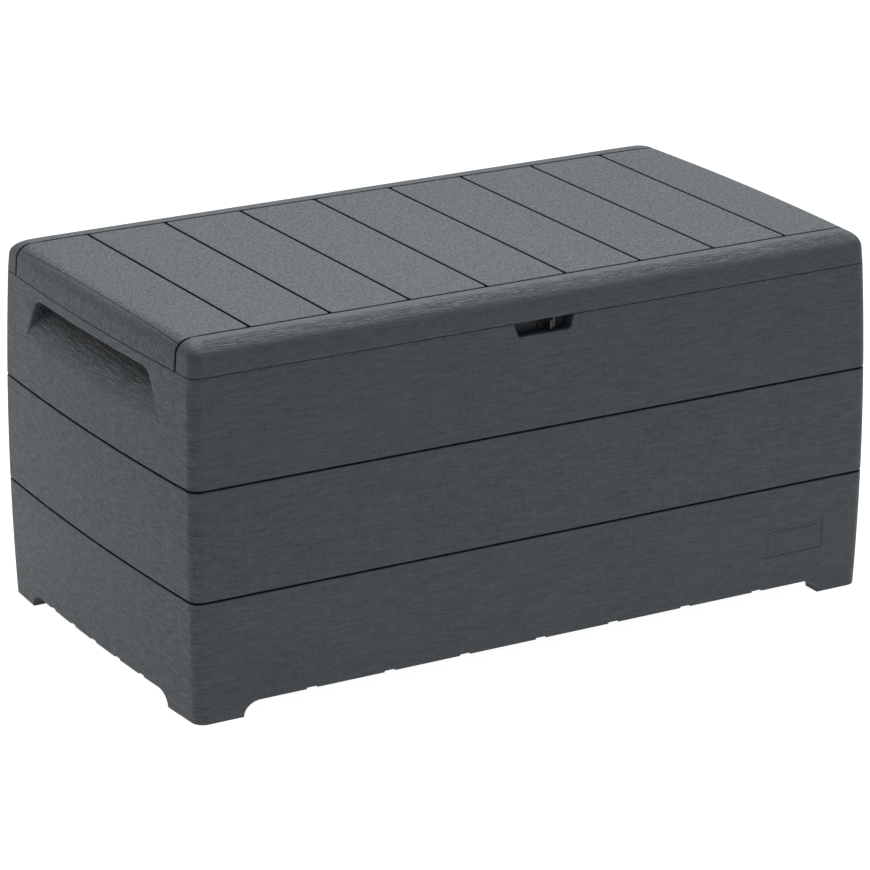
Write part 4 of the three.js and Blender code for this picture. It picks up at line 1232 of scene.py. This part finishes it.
def lid_liner():
    def inset_of(s):
        if s[0] == "long" and s[1] < 0 and abs(s[2]) < LOCK_ROOM_HALF + 0.2:
            return HALF_DEPTH + LOCK_ROOM_BACK
        return LINER_INSET

    margins = (4, 6, 8, 10, 12, 16, 20)
    lock_room = [s * (LOCK_ROOM_HALF + d) for s in (-1, 1) for d in (0.1, 0.4)]
    xs = merged(panel_edges(LINER_COLUMNS, margins) + lock_room, -585.0, 585.0, 26)
    ys = merged(panel_edges(LINER_PANEL_ROWS, margins), -306.0, 306.0, 26)
    dent = pressed(LINER_COLUMNS, LINER_PANEL_ROWS, 8.0, 1.8, 14.0)
    made = flat_plate(LINER_BOTTOM, LINER_TOP, inset_of, dent, True, xs, ys)

    def rim_loop(inset, z):
        return [(*plan(s, max(inset, inset_of(s) + inset - LINER_INSET)), z) for s in around(xs, ys)]

    (outer, inner), foot = LINER_RIM, LINER_TOP - 0.5
    made.ring_sweep([rim_loop(outer, foot), rim_loop(outer, LINER_RIM_TOP),
                     rim_loop(inner, LINER_RIM_TOP), rim_loop(inner, foot)])
    return made


def floor_panel():
    margins = (3, 5, 7, 9, 12, 16)
    xs = merged(panel_edges(FLOOR_COLUMNS, margins), -592.0, 592.0, 26)
    ys = merged(panel_edges(FLOOR_PANEL_ROWS, margins), -312.0, 312.0, 26)
    dent = pressed(FLOOR_COLUMNS, FLOOR_PANEL_ROWS, 7.0, 1.6, 8.0)
    made = flat_plate(FLOOR_BOTTOM, FLOOR_TOP, lambda s: FLOOR_INSET, dent, False, xs, ys)
    half = FLOOR_RIB_HALF
    rib_x = (FLOOR_RIBS_X[0] - half, FLOOR_RIBS_X[-1] + half)
    rib_y = (FLOOR_RIBS_Y[0], FLOOR_RIBS_Y[-1])
    rib_z = (FLOOR_RIB_BOTTOM, FLOOR_BOTTOM + 0.5)
    for x in FLOOR_RIBS_X:
        made.bar((x - half, x + half), rib_y, rib_z)
    for y in FLOOR_RIBS_Y:
        made.bar(rib_x, (y - half, y + half), rib_z)
    return made


# ---- the pieces

piece("front_wall", front_panel(), wall_resin, "box", "front_panel")
piece("back_wall", back_panel(), wall_resin, "box", "back_panel")
for name, side in (("left_end", -1), ("right_end", 1)):
    piece(name + "_wall", end_wall(side), wall_resin, "box", name + "_panel")
piece("lid_top", lid_shell(), lid_resin, "lid", "lid_shell")
piece("lid_underside", lid_liner(), inner_resin, "lid", "lid_liner")
piece("floor_plate", floor_panel(), inner_resin, "box", "floor_panel")

for name in frame["nodes"]:
    if "lock_plate" in name:
        softened(name, lock_resin, 0.45)
    elif "corner_key" in name:
        softened(name, key_resin, 0.5)
    elif "bracket" in name or "lid_bar" in name:
        softened(name, zinc, 0.35)

# The CAD nodes shown as they are: the first part of a name that fits decides the material.
# the lock screws get steel painted dark for the shade in their recess
CARRIED = {"lock_screw": shaded_screw_steel, "hinge_pin": zinc, "clip": zinc, "screw": screw_steel,
           "tube_eye": eye_nylon, "rod_eye": eye_nylon, "strut_tube": strut_paint, "strut_rod": chrome}
for name, obj in frame["nodes"].items():
    for key, material in CARRIED.items():
        if key in name:
            obj.data.materials.clear()
            obj.data.materials.append(material)
            break

# ---- stage, light and camera


def stage():
    """A pale paper ground that turns up into a wall far behind the box."""
    made = Mesh()
    half, radius, height = 9000.0, 2500.0, 6000.0
    profile = [(-half, 0.0)]
    for turn in quarter(12):
        profile.append((half - radius + radius * sin(turn), radius * (1 - cos(turn))))
    profile.append((half, height))
    made.grid([[(x, y, z - 0.4) for x in (-half * 2, half * 2)] for y, z in profile])
    mesh = raw_mesh("studio_floor", made)
    for face in mesh.polygons:
        face.use_smooth = True
    material, _, shader = new_material("studio_paper", (0.25, 0.25, 0.25), 0.9)
    shader.inputs["Specular IOR Level"].default_value = 0.0
    shader.inputs["Emission Color"].default_value = (1, 1, 1, 1)
    shader.inputs["Emission Strength"].default_value = 0.97
    mesh.materials.append(material)
    add_object("studio_floor", mesh)


def overhead_light():
    """One wide soft light above the box, a little behind it and to the right."""
    place, aim = Vector((0.55, 0.3, 2.9)), Vector((0.2, 0.0, 0.6))
    light = bpy.data.lights.new("overhead", "AREA")
    light.shape = "RECTANGLE"
    light.size, light.size_y = 3.4, 2.2
    light.energy = 132
    obj = add_object("overhead", light)
    obj.location = place
    obj.rotation_euler = (aim - place).to_track_quat("-Z", "Y").to_euler()


def studio_world():
    world = bpy.data.worlds.new("studio")
    world.use_nodes = True
    back = world.node_tree.nodes["Background"]
    back.inputs["Color"].default_value = (1.0, 1.0, 1.0, 1)
    back.inputs["Strength"].default_value = 0.37
    SCENE.world = world


def camera():
    """The photo's camera, solved from the straight edges of the box."""
    data = bpy.data.cameras.new("camera")
    data.sensor_width = 36.0
    data.lens = 174.09
    data.clip_end = 60.0
    obj = add_object("camera", data)
    obj.location = (-3.3671, -5.8601, 2.6164)
    obj.rotation_euler = (radians(90 - 19.103), 0.0, radians(-29.859))
    SCENE.camera = obj


stage()
studio_world()
overhead_light()
camera()
SCENE.view_settings.view_transform = "Standard"
SCENE.view_settings.look = "None"
